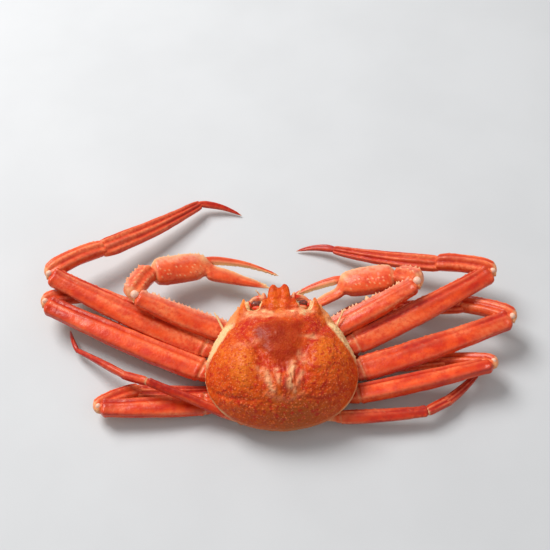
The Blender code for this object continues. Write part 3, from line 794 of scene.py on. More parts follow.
class Finish:
    """A material's node tree, wired up one node at a time."""

    def __init__(self, name):
        self.material = bpy.data.materials.new(name)
        self.material.use_nodes = True
        self.tree = self.material.node_tree
        self.shader = self.tree.nodes["Principled BSDF"]
        self.place = self.tree.nodes.new("ShaderNodeTexCoord").outputs["Object"]
        self.colour = None

    def feed(self, socket, value):
        """Sets a socket to a value, or links an output to it."""
        if isinstance(value, bpy.types.NodeSocket):
            self.tree.links.new(value, socket)
        elif hasattr(value, "__len__") and len(value) == 3 and socket.type == "RGBA":
            socket.default_value = (*value, 1.0)
        else:
            socket.default_value = value

    def mark(self, name):
        """A mark of the mesh's points."""
        node = self.tree.nodes.new("ShaderNodeAttribute")
        node.attribute_name = name
        return node.outputs["Fac"]

    def noise(self, size, detail=3.0):
        """Smooth noise with lumps of that size in millimetres."""
        node = self.tree.nodes.new("ShaderNodeTexNoise")
        self.feed(node.inputs["Scale"], 1.0 / (size * MM))
        self.feed(node.inputs["Detail"], detail)
        self.feed(node.inputs["Vector"], self.place)
        return node.outputs["Fac"]

    def cells(self, size):
        """Distance to scattered points that are that far apart in millimetres."""
        node = self.tree.nodes.new("ShaderNodeTexVoronoi")
        self.feed(node.inputs["Scale"], 1.0 / (size * MM))
        self.feed(node.inputs["Vector"], self.place)
        return node.outputs["Distance"]

    def spread(self, value, low, high, floor=0.0, ceiling=1.0):
        """Stretches the range from low to high to the range from floor to ceiling."""
        node = self.tree.nodes.new("ShaderNodeMapRange")
        node.interpolation_type = "SMOOTHSTEP"
        names = ("Value", "From Min", "From Max", "To Min", "To Max")
        for name, amount in zip(names, (value, low, high, floor, ceiling)):
            self.feed(node.inputs[name], amount)
        return node.outputs["Result"]

    def maths(self, operation, first, second, clamp=False):
        """Two numbers put together."""
        node = self.tree.nodes.new("ShaderNodeMath")
        node.operation = operation
        node.use_clamp = clamp
        self.feed(node.inputs[0], first)
        self.feed(node.inputs[1], second)
        return node.outputs["Value"]

    def blend(self, share, first, second):
        """Colour between the first and the second by a share."""
        node = self.tree.nodes.new("ShaderNodeMix")
        node.data_type = "RGBA"
        self.feed(node.inputs["Factor"], share)
        colours = [socket for socket in node.inputs if socket.type == "RGBA"]
        self.feed(colours[0], first)
        self.feed(colours[1], second)
        return next(socket for socket in node.outputs if socket.type == "RGBA")

    def paint(self, share, colour):
        """Lays a colour over what is there, by a share."""
        self.colour = self.blend(share, self.colour, colour)

    def broken(self, mask, noise, low, high, floor, ceiling=1.0):
        """A mask that noise breaks up, from the floor to the ceiling of its strength."""
        return self.maths("MULTIPLY", mask, self.spread(noise, low, high, floor, ceiling))

    def bumps(self, height, depth):
        """Fine relief that is that deep in millimetres."""
        node = self.tree.nodes.new("ShaderNodeBump")
        self.feed(node.inputs["Distance"], depth * MM)
        self.feed(node.inputs["Height"], height)
        self.feed(self.shader.inputs["Normal"], node.outputs["Normal"])

    def set(self, **sockets):
        """Sets sockets of the shader."""
        for name, value in sockets.items():
            self.feed(self.shader.inputs[name.replace("_", " ")], value)


def wet_coat(finish, settings, share=1.0):
    """The wet gloss that every boiled surface has, or a share of it."""
    finish.set(Coat_Weight=share * settings.wetness, Coat_Roughness=settings.coat_roughness, IOR=1.5)
    finish.set(Specular_IOR_Level=share * settings.gloss)
    finish.set(Subsurface_Weight=GLOW_SHARE, Subsurface_Scale=GLOW_DEPTH * MM)
    finish.shader.inputs["Subsurface Radius"].default_value = GLOW_COLOUR


def shell_finish(settings):
    """The boiled back: orange with warm, deep red, pale and smooth places, mottled all over."""
    finish = Finish("boiled_shell")
    middle, fine, spotty = finish.noise(3.6, 4.0), finish.noise(1.2, 4.0), finish.mark("spotty")
    mottle = finish.spread(finish.noise(6.0, 5.0), 0.42, 0.6)
    finish.colour = finish.blend(mottle, settings.orange, settings.light_orange)
    glow = finish.spread(finish.noise(4.6, 3.0), 0.5, 0.66, 0.0, 0.35)
    glow = finish.maths("ADD", finish.mark("warm"), glow, True)
    finish.paint(finish.broken(glow, middle, 0.36, 0.58, 0.4), settings.warm)
    # Browner rear, partly painted shade on the rear slope
    finish.paint(finish.mark("rear"), settings.rear)
    # Deep red spots and stains, and painted shade in the grooves
    deep = finish.broken(finish.mark("deep"), finish.noise(3.2, 4.0), 0.35, 0.6, 0.4)
    stain = finish.broken(spotty, middle, 0.51, 0.64, 0.0, 0.75)
    finish.paint(finish.maths("MAXIMUM", deep, stain), settings.deep)
    cloud = finish.spread(finish.noise(7.0, 4.0), 0.45, 0.62)
    finish.paint(finish.mark("plate"), finish.blend(cloud, settings.plate, settings.plate_light))
    finish.paint(finish.broken(finish.mark("grain"), fine, 0.3, 0.55, 0.25, 0.75), settings.granule)
    # Salmon ridges and patches, with the forehead's band partly a painted highlight
    finish.paint(finish.broken(finish.mark("salmon"), fine, 0.3, 0.6, 0.45, 0.9), settings.salmon)
    finish.paint(finish.broken(finish.mark("pale"), fine, 0.25, 0.5, 0.6), settings.cream)
    finish.paint(finish.broken(spotty, finish.cells(2.7), 0.08, 0.26, 0.65, 0.0), settings.speckle)
    finish.paint(finish.broken(spotty, finish.cells(2.0), 0.1, 0.32, 0.6, 0.0), settings.salmon)
    finish.set(Base_Color=finish.colour, Roughness=finish.spread(fine, 0.3, 0.7, 0.34, 0.6))
    wet_coat(finish, settings, 0.5)
    finish.bumps(finish.maths("ADD", finish.noise(0.9, 4.0), finish.cells(1.2)), 0.3)
    return finish.material


def limb_finish(settings):
    """The boiled limbs: orange red that runs into crimson, with pale ends and warm edges, a painted
    highlight on the ridges and painted shade in the furrows.
    """
    finish = Finish("boiled_limb")
    mottle = finish.spread(finish.noise(8.0, 5.0), 0.38, 0.6)
    finish.colour = finish.blend(mottle, settings.limb, settings.limb_light)
    # The warm mark holds warm edges and spines and the painted highlight on the ridges; the deep mark
    # holds crimson ends and the painted shade in the furrows
    for mark, size, low, high, floor, colour in (
        ("warm", 2.6, 0.34, 0.6, 0.35, settings.limb_warm),
        ("deep", 4.0, 0.32, 0.58, 0.5, settings.crimson),
    ):
        finish.paint(finish.broken(finish.mark(mark), finish.noise(size, 4.0), low, high, floor), colour)
    finish.paint(finish.spread(finish.noise(5.0, 3.0), 0.53, 0.7, 0.0, 0.2), settings.crimson)
    # Pale knobs of the knees, and painted highlights on the limbs' ridges and on the claws' upper faces
    white = finish.broken(finish.mark("white"), finish.noise(3.2, 4.0), 0.34, 0.6, 0.3)
    finish.paint(white, settings.knob)
    finish.paint(finish.mark("pale"), settings.cream)
    finish.paint(finish.spread(finish.cells(2.6), 0.06, 0.2, 0.25, 0.0), settings.speckle)
    roughness = finish.spread(finish.noise(1.4, 4.0), 0.3, 0.7, 0.28, 0.5)
    finish.set(Base_Color=finish.colour, Roughness=roughness)
    wet_coat(finish, settings)
    finish.bumps(finish.maths("ADD", finish.noise(0.8, 4.0), finish.cells(1.5)), 0.14)
    return finish.material


def cream_finish(settings):
    """The pale underside, joint skins and feelers, with a blush of orange, and some orange red and brown
    that is painted shade under the shell's rim.
    """
    finish = Finish("pale_shell")
    blush = finish.spread(finish.noise(6.0, 5.0), 0.42, 0.68, 0.0, 0.75)
    finish.colour = finish.blend(blush, settings.cream, settings.blush)
    # Orange red and brown by the deep and rear marks; on the body's sides and the flap's rear they are
    # painted shade under the shell's rim
    finish.paint(finish.mark("deep"), settings.limb)
    finish.paint(finish.mark("rear"), settings.rear)
    finish.paint(finish.mark("white"), settings.knob)
    finish.set(Base_Color=finish.colour, Roughness=finish.spread(finish.noise(1.4), 0.3, 0.7, 0.3, 0.5))
    wet_coat(finish, settings)
    finish.bumps(finish.noise(0.9, 5.0), 0.25)
    return finish.material


def eye_finish(settings):
    """The dark wet eye, faintly faceted."""
    finish = Finish("dark_eye")
    colour = finish.blend(finish.spread(finish.noise(1.6), 0.4, 0.62), settings.eye, settings.eye_light)
    finish.set(Base_Color=colour, Roughness=0.3, Coat_Weight=0.5, Coat_Roughness=0.1)
    finish.bumps(finish.cells(0.35), 0.05)
    return finish.material


def table_finish(settings):
    """The plain pale table."""
    finish = Finish("pale_table")
    cloud = finish.spread(finish.noise(90.0, 3.0), 0.3, 0.7)
    darker = tuple(0.96 * channel for channel in settings.table)
    finish.set(Base_Color=finish.blend(cloud, settings.table, darker), Roughness=0.7)
    finish.bumps(finish.noise(1.2, 4.0), 0.04)
    return finish.material


FINISHES = {
    "boiled_shell": shell_finish,
    "boiled_limb": limb_finish,
    "pale_shell": cream_finish,
    "dark_eye": eye_finish,
    "pale_table": table_finish,
}


def finish_named(name):
    """The finish of that name, made once."""
    return bpy.data.materials.get(name) or FINISHES[name](bpy.context.scene.crab_colours)


def rim_curve(turns):
    """Points of the rim's right half in those directions from the shell's centre."""
    known = np.array([math.atan2(y - SHELL_CENTRE_Y, x) for x, y, _ in RIM])
    rows = np.array(RIM, float)
    return np.stack([curve_through(turns, known, rows[:, k], False) for k in range(3)], axis=1)


def rim_point(angle):
    """Point of the shell's rim in that direction from the shell's centre."""
    turn = math.atan2(math.sin(angle), abs(math.cos(angle)))
    x, y, z = rim_curve(np.array([turn]))[0]
    return Vector((math.copysign(abs(x), math.cos(angle)), y, z))


def back_relief(x, y):
    """Height that the named regions add to the shell's back."""
    return float(patches(np.array([x]), np.array([y]), REGIONS)[0])


def shell_dome(columns=120, back_rings=46, under_rings=14):
    """Points and faces of the domed shell, from its flat underside out to its rim and over."""
    centre = Vector((0, SHELL_CENTRE_Y, 0))
    rims = [rim_point(2 * math.pi * index / columns) for index in range(columns)]
    rows = []
    for ring in range(1, under_rings + 1):
        reach = ring / under_rings
        rise = max(0.0, (reach - FLAT_SHARE) / (1.0 - FLAT_SHARE)) ** UNDER_RISE
        for rim in rims:
            point = centre.lerp(rim, reach)
            point.z = SHELL_FLOOR + (rim.z - RIM_THICK - SHELL_FLOOR) * rise
            rows.append(tuple(point))
    for ring in range(back_rings):
        reach = math.cos(ring / back_rings * math.pi / 2) ** CLOSING
        dome = (1.0 - reach**RISE_START) ** RISE_END
        for rim in rims:
            point = centre.lerp(rim, reach)
            point.z = rim.z + (SHELL_CROWN - rim.z) * dome
            point.z += back_relief(point.x, point.y) * min(1.0, RELIEF_GROWTH * dome)
            rows.append(tuple(point))
    crown = SHELL_CROWN + back_relief(0, SHELL_CENTRE_Y)
    points = [(0, SHELL_CENTRE_Y, SHELL_FLOOR)] + rows + [(0, SHELL_CENTRE_Y, crown)]
    return np.array(points), tube_faces(under_rings + back_rings, columns, False)


def rim_teeth():
    """Small teeth along the front half of the rim, where the shell is widest and on."""
    teeth = []
    rng = np.random.default_rng(11)
    for out in SIDES.values():
        for turn in np.linspace(*RIM_TEETH):
            rim = rim_point(math.radians(turn + rng.uniform(-0.8, 0.8)))
            away = Vector((rim.x, rim.y - SHELL_CENTRE_Y, 0)).normalized()
            at = Vector((rim.x, rim.y, rim.z - 0.2)) - away * 1.2
            tip = at + away * rng.uniform(1.6, 2.3) + Vector((0, 0.5, 0.5))
            teeth.append(spike_shape([mirrored(at, out), mirrored(tip, out)], TOOTH_RADII, 1.0, 8, 7))
    return teeth


def shell_marks(points, facings, rim_share):
    """Marks of the shell's finish: where it is warm, deep red, pale, smooth, spotty or brown. Painted
    shade darkens the grooves and the rear slope, and a painted highlight lightens the forehead.
    """
    x, y, z = points.T
    wander, wander_y = 2.2 * lumps(points, 6.0, 5), 2.2 * lumps(points, 6.0, 6)
    on_back = ramp(0.0, 0.25, facings[:, 2]) * ramp(0.985, 0.93, rim_share)
    warm, deep, pale = (
        patches(x + wander, y + wander_y, places)
        for places in (WARM_PATCHES, DEEP_PATCHES, PALE_PATCHES)
    )
    # Painted shade along the big groove and the rear crease, laid over the deep red spots
    groove = bell(line_gap(abs(x) + 0.4 * wander, y, GROOVES[0][0]), 3.2)
    crease = bell(line_gap(abs(x), y, GROOVES[1][0]), 0.9)
    deep = np.maximum(1.25 * deep, np.maximum(0.8 * groove, 0.55 * crease))

    left, right = (np.interp(y, *zip(*edge)) for edge in (PLATE_LEFT, PLATE_RIGHT))
    plate = ramp(-3.0, 4.0, np.minimum(x - left, right - x) + 1.2 * wander)
    plate = plate * ramp(PLATE_FRONT + 2, PLATE_FRONT - 6, y + 1.6 * wander_y)
    plate = plate * ramp(PLATE_REAR, PLATE_REAR + 7, y)

    # The pale patches make the forehead's salmon band, partly a painted highlight
    salmon = pale
    pale = 0.85 * pale * ramp(-0.4, 0.8, lumps(points, 3.0, 14))
    broken = ramp(-0.9, 0.2, lumps(points, 3.2, 15))
    for line, width, _, paleness in RIDGES:
        ridge = bell(line_gap(x + 0.3 * wander, y, line), width) * broken
        salmon = np.maximum(salmon, 1.2 * paleness * ridge)
        pale = np.maximum(pale, 0.45 * paleness**2 * ridge)

    for out in SIDES.values():
        centre, radii = HOLLOW
        inside = ((x - out * centre[0]) / radii[0]) ** 2 + ((y - centre[1]) / radii[1]) ** 2
        inside = inside + ((z - centre[2]) / radii[2]) ** 2
        hollow = ramp(1.45, 1.15, inside)
        pale = np.maximum(pale, hollow * (0.7 + 0.4 * lumps(points, 2.4, 17)))
        warm = np.maximum(warm, hollow)

    edge_x, edge_y = zip(*WALL_EDGE)
    past_edge = abs(x) - np.interp(y, edge_y, edge_x)
    side_wall = ramp(-1.4, 1.6, past_edge + 0.4 * wander) * ramp(-8, 4, y)
    corner = side_wall * ramp(22, 30, y + 0.6 * wander_y)
    side_wall = side_wall * ramp(30, 23, y + 0.6 * wander_y)
    behind = ramp(-34, -42, y)
    edge = ramp(0.99, 1.0, rim_share) * ramp(46, 36, y) * (1 - 0.8 * behind)
    pale = np.maximum(np.maximum(pale, 0.95 * side_wall + 0.3 * corner), 0.6 * edge)
    below = ramp(-0.2, -0.6, facings[:, 2]) * ramp(46.5, 43, y)
    pale = np.maximum(pale, below * (1 - 0.7 * behind))
    warm = np.maximum(warm * on_back, 0.8 * ramp(-3.5, -0.5, past_edge) * ramp(10, 22, y))
    warm = np.maximum(warm, corner * ramp(46, 42, y))
    # Browner and darker towards the rear and the right of the back: partly the shell's own brown, partly
    # painted shade on the rear slope
    rear = ramp(REAR_EDGE + 2, REAR_EDGE - 9, y + 0.5 * wander) * ramp(-0.5, 0.1, facings[:, 2])
    return {
        "warm": warm,
        "deep": deep * on_back,
        "plate": plate * on_back * (0.72 + 0.2 * lumps(points, 5.0, 18)),
        "pale": pale,
        "salmon": salmon * on_back,
        "rear": rear * (0.25 + 0.65 * bell(x - 9, 20)),
        "spotty": on_back * (1 - 0.85 * plate) * ramp(46, 36, y),
    }


def shell_relief(points, settings, calm, bump, strength):
    """Height of the back's furrows, ridges, wrinkles, lumps and grains."""
    x, y, _ = points.T
    height = np.zeros(len(points))
    wobble = 0.5 * lumps(points, 3.0, 2)
    for line, width, depth in GROOVES:
        height -= depth * settings.furrows * bell(line_gap(abs(x) + wobble, y, line), width)
    wobble = 0.9 * lumps(points, 3.0, 3)
    uneven = 1 + 0.6 * lumps(points, 2.2, 16)
    for line, width, rise, _ in RIDGES:
        height += rise * settings.furrows * bell(line_gap(x + wobble, y, line), width) * uneven
    wrinkled = bell(x, 15) * bell(y + 22, 10)
    height += WRINKLE_HEIGHT * wrinkled * np.sin(x * 1.9 + 2.5 * lumps(points, 5.0, 4))
    forehead = bell(y - FOREHEAD_Y, 6) * ramp(32, 24, abs(x))
    height += FOREHEAD_HEIGHT * forehead * lumps(points, 3.2, 7)
    height += calm * sum(high * lumps(points, size, seed) for high, size, seed in BACK_LUMPS)
    return height + settings.grain / MM * bump * np.clip(strength, 0, 1.2) * calm


def build_shell(settings):
    """The shell with its beak, its spines, its furrows and its grained back."""
    shapes = [shell_dome()]
    for line, radii, flatness in SHELL_SPIKES:
        for out in SIDES.values():
            shapes.append(spike_shape([mirrored(point, out) for point in line], radii, flatness))
    shapes += rim_teeth()
    hollows = [ball_skin(mirrored(HOLLOW[0], out), HOLLOW[1]).mesh()[:2] for out in SIDES.values()]
    points, facings, faces = voxel_skin(shapes, settings.skin / MM, hollows)
    x, y, _ = points.T
    rim = rim_curve(np.arctan2(y - SHELL_CENTRE_Y, abs(x)))
    rim_share = np.hypot(x, y - SHELL_CENTRE_Y) / np.hypot(rim[:, 0], rim[:, 1] - SHELL_CENTRE_Y)
    marks = shell_marks(points, facings, rim_share)
    on_back = ramp(0.0, 0.3, facings[:, 2])
    calm = 1 - 0.8 * marks["plate"]
    gap, own = grains(points, GRAIN_SPACING, 12)
    bump = ramp(0.0, 0.4, 0.45 - gap) * (0.35 + own)
    strength = 0.35 + 0.65 * ramp(14, 26, abs(x)) + 0.8 * ramp(-22, -32, y)
    marks["grain"] = np.clip(bump * strength, 0, 1) * calm * on_back
    height = shell_relief(points, settings, calm, bump, strength)
    points = points + facings * (height * on_back * ramp(1.02, 0.97, rim_share))[:, None]
    beak = ramp(38, 44, y) * on_back
    points = points + facings * (BEAK_GRAIN * beak * (lumps(points, 2.2, 13) + bump))[:, None]
    add_piece("carapace_shell", (points, faces, marks), "boiled_shell", ["carapace"])


def heading(side, swing, climb):
    """Unit vector that points out from the body on that side, swung forward and raised."""
    flat = math.cos(math.radians(climb))
    turn = math.radians(swing)
    rise = math.sin(math.radians(climb))
    return Vector((SIDES[side] * flat * math.cos(turn), flat * math.sin(turn), rise))


def limb_frames(side, hip, segments, tilt):
    """Start, direction, front edge, upward side and length of each segment."""
    start = Vector(hip)
    directions = [heading(side, swing, climb) for _, swing, climb in segments]
    through = directions[0].cross(directions[1])
    if through.z < 0:
        through = -through
    through = (through.normalized() + Vector((0, -math.tan(math.radians(tilt)), 0))).normalized()
    frames = []
    for (length, _, _), along in zip(segments, directions):
        across = through.cross(along).normalized()
        if across.y < 0:
            across = -across
        up = along.cross(across).normalized()
        frames.append((start, along, across, up if up.z > 0 else -up, length))
        start = start + along * length
    return frames


def segment_stations(kind, frame, girth, bow):
    """Stations of one limb segment, bowed to its front edge."""
    start, along, across, up, length = frame
    before, after = OVERLAP[kind]
    if girth[0] < THIN_GIRTH:
        after = max(after, THIN_OVERLAP)
    start = start - along * before
    length = length + before + after
    stations = []
    for share, wide, thick in PROFILES[kind]:
        arch = bow * length * 4.0 * share * (1.0 - share)
        centre = start + along * (share * length) + across * arch
        stations.append((centre, across, up, wide * girth[0], thick * girth[1]))
    return stations


def palm_stations(frame, finger_frame, finger_girth):
    """The palm, which runs on into its fixed finger."""
    start, along, across, up, length = frame
    half_width, half_thick = CLAW_GIRTHS[2]
    stations = []
    for share, wide, thick in PALM:
        centre = start + along * (share * length)
        stations.append((centre, across, up, wide * half_width, thick * half_thick))
    root = start + along * length - across * FIXED_FINGER_DROP
    _, finger_along, finger_across, finger_up, finger_length = finger_frame
    for share, wide, thick in FIXED_FINGER:
        centre = root + finger_along * (share * finger_length)
        wide, thick = wide * finger_girth * half_width, thick * finger_girth * half_thick
        stations.append((centre, finger_across, finger_up, wide, thick))
    return stations


def loose_finger_frame(side, palm):
    """Frame of the finger that moves, seated in the end of the palm."""
    palm_start, palm_along, palm_across, palm_up, palm_length = palm
    length, swing, climb = LOOSE_FINGERS[side]
    along = heading(side, swing, climb)
    across = palm_up.cross(along).normalized()
    if across.dot(palm_across) < 0:
        across = -across
    start = palm_start + palm_along * (palm_length - LOOSE_FINGER_SEAT)
    start = start + palm_across * LOOSE_FINGER_RISE
    return start, along, across, palm_up, length


def segment_skin(limb, kind, stations, girth, settings, rng, thin=False):
    """Skin of one segment with its ridges, grain and rows of spines."""
    length = sum((b[0] - a[0]).length for a, b in zip(stations, stations[1:]))
    rings = int(length / RING_STEP[kind]) + 12
    columns = min(COLUMNS[kind], THIN_COLUMNS) if thin else COLUMNS[kind]
    ends = (girth[1] * USUAL_END, girth[1] * END_LENGTH.get(kind, USUAL_END))
    skin = Skin(stations, rings, columns, SQUARENESS[kind], ends)
    size = min(1.0, girth[0] / USUAL_GIRTH)
    seed = int(rng.integers(1, 90))
    skin.long_relief(kind, settings.ridge / MM * size)
    skin.roughen(9.0, 0.3 * size, seed)
    skin.roughen(2.6, 0.1 * size, seed + 1)
    skin.grainy(2.6, GRAINS[limb] * size, seed + 2)
    skin.streaks(seed + 3)
    for degrees, first, last, spacing, height, radius, pale in SPINE_ROWS.get((limb, kind), ()):
        high, wide, apart = settings.spine / MM * height * size, radius * size**0.5, spacing / size**0.5
        skin.spine_row(rng, degrees, first, last, apart, high, wide, pale)
    return skin


def shade_limb(skin, limb, kind, number):
    """Marks where a segment is deep red, warm or pale, and where highlights are painted on the claws."""
    share = skin.share[:, None]
    under = ramp(-0.35, -0.9, skin.facing[..., 2])
    skin.pale += 0.45 * under
    start_mm, end_mm = share * skin.length, (1 - share) * skin.length
    front = bell(skin.turned(18), 24)[None, :]
    if kind == "merus":
        for degrees in MERUS_LOBES:
            skin.knob(degrees, LOBE_END, 0.28 * skin.widest, 0.14 * skin.widest)
        skin.pale += 0.4 * ramp(9.0, 3.0, start_mm) + 0.15 * ramp(1.6, 0.3, end_mm)
        skin.warm += 0.6 * ramp(4.0, 0.5, end_mm)
        skin.deep += 0.4 * ramp(0.72, 0.95, share) * (1 - under)
        skin.warm += 0.3 * ramp(0.35, 0.1, share)
    elif kind == "carpus":
        skin.pale += 0.35 * ramp(3.0, 0.6, start_mm)
        skin.warm += 0.35 + 0.5 * ramp(2.4, 0.4, end_mm)
    elif kind == "propodus":
        skin.warm += 0.6 * ramp(9.0, 2.0, start_mm)
        skin.warm += 0.35 * ramp(0.6, 0.2, share)
        skin.deep += 0.5 * share * (1 - under) * ramp(1.0, 8.0, start_mm)
    elif kind == "dactyl":
        skin.deep += 0.7 * (1 - under)
        skin.pale += 0.5 * ramp(0.9, 1.0, share)
    elif kind == "palm":
        skin.pale += 0.8 * front * ramp(0.5, 0.4, share) + 0.35 * ramp(3.0, 1.0, start_mm)
        skin.warm += 0.15 + 0.4 * ramp(0.3, 0.46, share) * ramp(0.6, 0.46, share)
        skin.knob(62, skin.length * 0.56, 4.2, 0.8, 0.5)
        # A painted highlight across the upper face of the palm
        sheen = bell(skin.turned(58), 20)[None, :] * ramp(0.45, 0.36, share)
        skin.white += 0.3 * sheen * ramp(0.03, 0.1, share)
    if limb == "claw":
        skin.warm += 0.15 + 0.4 * front
        # A pale band along the claws' upper edge: partly the pale spines' own colour, partly a painted
        # highlight
        skin.white += (0.6 if kind == "merus" else 0.25) * bell(skin.turned(22), 32)[None, :]
        skin.deep *= 0.6
    if number == THIN_LEG:
        skin.deep += 0.5 * ramp(0.0, 0.5, share) if kind == "merus" else 0.5


def add_collars(skin, limb, kind, girth):
    """Rings where a segment narrows to its joint."""
    scale = girth[0] / SEAM_GIRTH
    step = scale / skin.length
    if kind == "merus":
        skin.collar(SEAM_AT[limb] * step, 0.9 * scale, -0.7 * scale, 0.26)
        skin.collar((SEAM_AT[limb] + 2.6) * step, 1.2 * scale, 0.5 * scale)
        skin.collar(1 - 3.4 * step, 2.2 * scale, 0.35 * scale)
    elif kind in ("carpus", "palm"):
        skin.collar(3.2 * step, 1.2 * scale, -0.5 * scale, 0.3)
        if kind == "carpus":
            skin.collar(1 - 2.4 * step, 1.6 * scale, 0.5 * scale)
    elif kind == "propodus":
        skin.collar(1 - 2.0 * step, 1.2 * scale, 0.5 * scale)


def joint_skin(frame, next_frame, girth, seed):
    """The pale folded skin that fills a joint."""
    start, along, across, up, length = frame
    joint = start + along * length
    onward = next_frame[1]
    back = joint - along * girth[1] * JOINT_REACH
    ahead = joint + onward * girth[1] * JOINT_REACH
    bulge = (along - onward).normalized() * girth[1] * 0.02
    half_width, half_thick = girth[0] * JOINT_GIRTH[0], girth[1] * JOINT_GIRTH[1]
    stations = [
        (back, across, up, half_width * 0.9, half_thick * 0.9),
        (joint + bulge, (across + next_frame[2]).normalized(), up, half_width, half_thick),
        (ahead, next_frame[2], next_frame[3], half_width * 0.85, half_thick * 0.85),
    ]
    skin = Skin(stations, *JOINT_GRID, 2.2, (girth[1] * 0.8, girth[1] * 0.8))
    for share in JOINT_FOLDS:
        skin.collar(share, girth[1] * 0.12, -0.25)
    skin.roughen(2.0, 0.3, seed)
    skin.deep += 0.8 if girth[0] < THIN_GIRTH else 0.35
    return skin.mesh()


def joint_knob(limb, frame, next_frame, girth, seed):
    """The whitish knob that a knee turns on, at its outer side."""
    start, along, _, up, length = frame
    at = start + along * (length - 0.3 * girth[1])
    at = at + next_frame[1] * girth[1] * 0.1 + up * girth[1] * 0.5
    knob = ball_skin(at, [KNOB_SHARE[limb] * girth[1]] * 3, 24, 16)
    knob.roughen(3.0, 0.5, seed)
    knob.white += 1.0
    return knob.mesh()


def bows_of(kinds, segments):
    """How far each segment bows. A carpus that doesn't fold back stays straight."""
    bows = []
    for index, kind in enumerate(kinds):
        fold = segments[index][1] - segments[index - 1][1] if kind == "carpus" else 180
        bows.append(BOW[kind] if fold > STRAIGHT_FOLD else 0.0)
    return bows


def finger_teeth(skin, rng, degrees, first, last):
    """The row of blunt pale teeth on a finger's biting edge, and its pale tip."""
    count = int((last - first) * skin.length / FINGER_TOOTH_STEP)
    for index in range(count):
        share = first + (last - first) * (index + 0.5) / count
        ring = int(np.argmin(abs(skin.share - share)))
        column = int(np.argmin(abs(skin.turned(degrees))))
        gap = np.linalg.norm(skin.points - skin.points[ring, column], axis=2)
        peak = np.clip(1 - (gap / FINGER_TOOTH_RADIUS) ** 2, 0, 1)
        skin.lift(FINGER_TOOTH_HEIGHT * rng.uniform(0.7, 1.2) * peak)
    along = ramp(first - 0.06, first, skin.share)[:, None]
    skin.pale += 0.95 * bell(skin.turned(degrees), 52)[None, :] * along
    skin.pale += 0.7 * ramp(0.9, 0.99, skin.share)[:, None]


def add_segment(limb, name, kind, number, stations, girth, settings, rng):
    """Adds the piece of one segment of a limb."""
    skin = segment_skin(limb, kind, stations, girth, settings, rng, number == THIN_LEG)
    add_collars(skin, limb, kind, girth)
    shade_limb(skin, limb, kind, number)
    if kind in BITING_EDGES:
        finger_teeth(skin, rng, *BITING_EDGES[kind])
    node = f"{name}_{kind}"
    add_piece(f"{node}_shell", skin.mesh(), "boiled_limb", [node])


def build_leg(side, number, settings):
    """A leg: one piece for each segment, and one for the skins of its joints."""
    segments = LEGS[side, number]
    frames = limb_frames(side, mirrored(LEG_HIPS[side, number], SIDES[side]), segments, LEG_TILT)
    seed = 100 + 10 * number + (side == "right")
    rng = np.random.default_rng(seed)
    girths = list(LEG_GIRTHS[number])
    girths[2] = BROAD_PROPODUS.get((side, number), girths[2])
    name = f"leg_{number}_{side}"
    for kind, segment, girth, bow in zip(LEG_NAMES, frames, girths, bows_of(LEG_NAMES, segments)):
        stations = segment_stations(kind, segment, girth, bow)
        add_segment("leg", name, kind, number, stations, girth, settings, rng)
    joints = []
    for index, pair in enumerate(zip(girths, girths[1:])):
        girth = [min(sizes) for sizes in zip(*pair)]
        joints.append(joint_skin(frames[index], frames[index + 1], girth, seed + index))
    if number != THIN_LEG:
        joints.append(joint_knob("leg", frames[0], frames[1], girths[0], seed))
    add_piece(f"{name}_joint_skins", joined(joints), "pale_shell")


def build_claw(side, settings):
    """A claw arm: upper arm, elbow, palm with its fixed finger, and the finger that moves."""
    rng = np.random.default_rng(40 + (side == "right"))
    segments = CLAWS[side]
    frames = limb_frames(side, mirrored(CLAW_HIP, SIDES[side]), segments, CLAW_TILT)
    loose = loose_finger_frame(side, frames[2])
    arm, elbow, palm, finger = CLAW_GIRTHS
    arm_bow, elbow_bow = bows_of(["merus", "carpus"], segments)
    rows = [
        ("merus", segment_stations("merus", frames[0], arm, arm_bow), arm),
        ("carpus", segment_stations("carpus", frames[1], elbow, elbow_bow), elbow),
        ("palm", palm_stations(frames[2], frames[3], FIXED_FINGER_GIRTH[side]), palm),
        ("finger", segment_stations("dactyl", loose, finger, BOW["finger"]), finger),
    ]
    for kind, stations, girth in rows:
        add_segment("claw", f"claw_{side}", kind, 0, stations, girth, settings, rng)
    palm_end = (loose[0] - frames[2][1] * 4, *frames[2][1:4], 4.0)
    joints = [
        joint_skin(frames[0], frames[1], arm, 50),
        joint_skin(frames[1], frames[2], elbow, 51),
        joint_knob("claw", frames[0], frames[1], arm, 57),
        joint_skin(palm_end, loose, FINGER_JOINT, 53),
    ]
    add_piece(f"claw_{side}_joint_skins", joined(joints), "pale_shell")


def body_block(columns=72, rings=40):
    """Points and faces of the body, flat below and on top, and narrower to the front."""
    rows = []
    for ring in range(1, rings):
        share = ring / rings
        reach = math.sin(share * math.pi) ** BODY_FULLNESS
        height = BODY_TOP * max(0.0, min(1.0, 0.5 - 0.75 * math.cos(share * math.pi)))
        for column in range(columns):
            angle = 2 * math.pi * column / columns
            half_length = BODY_REAR if math.sin(angle) < 0 else BODY_FRONT
            y = BODY_CENTRE_Y + half_length * reach * math.sin(angle)
            narrowing = 1.0 - BODY_NARROWING * max(0.0, y - SHELL_CENTRE_Y)
            rows.append((BODY_HALF_WIDTH * reach * math.cos(angle) * narrowing, y, height))
    points = [(0, BODY_CENTRE_Y, 0)] + rows + [(0, BODY_CENTRE_Y, BODY_TOP)]
    return np.array(points, float), tube_faces(rings - 1, columns, False)


def stub_shape(out, hip, along, radius, inside=STUB_INSIDE):
    """The short root that a limb is seated in."""
    at = mirrored((hip[0], hip[1], min(hip[2], STUB_TOP)), out)
    root = at - along * inside
    root.z = STUB_ROOT_Z if inside == STUB_INSIDE else at.z
    return spike_shape([root, at + along * STUB_OUTSIDE], [radius + 1.0, radius - 0.6], 0.9)


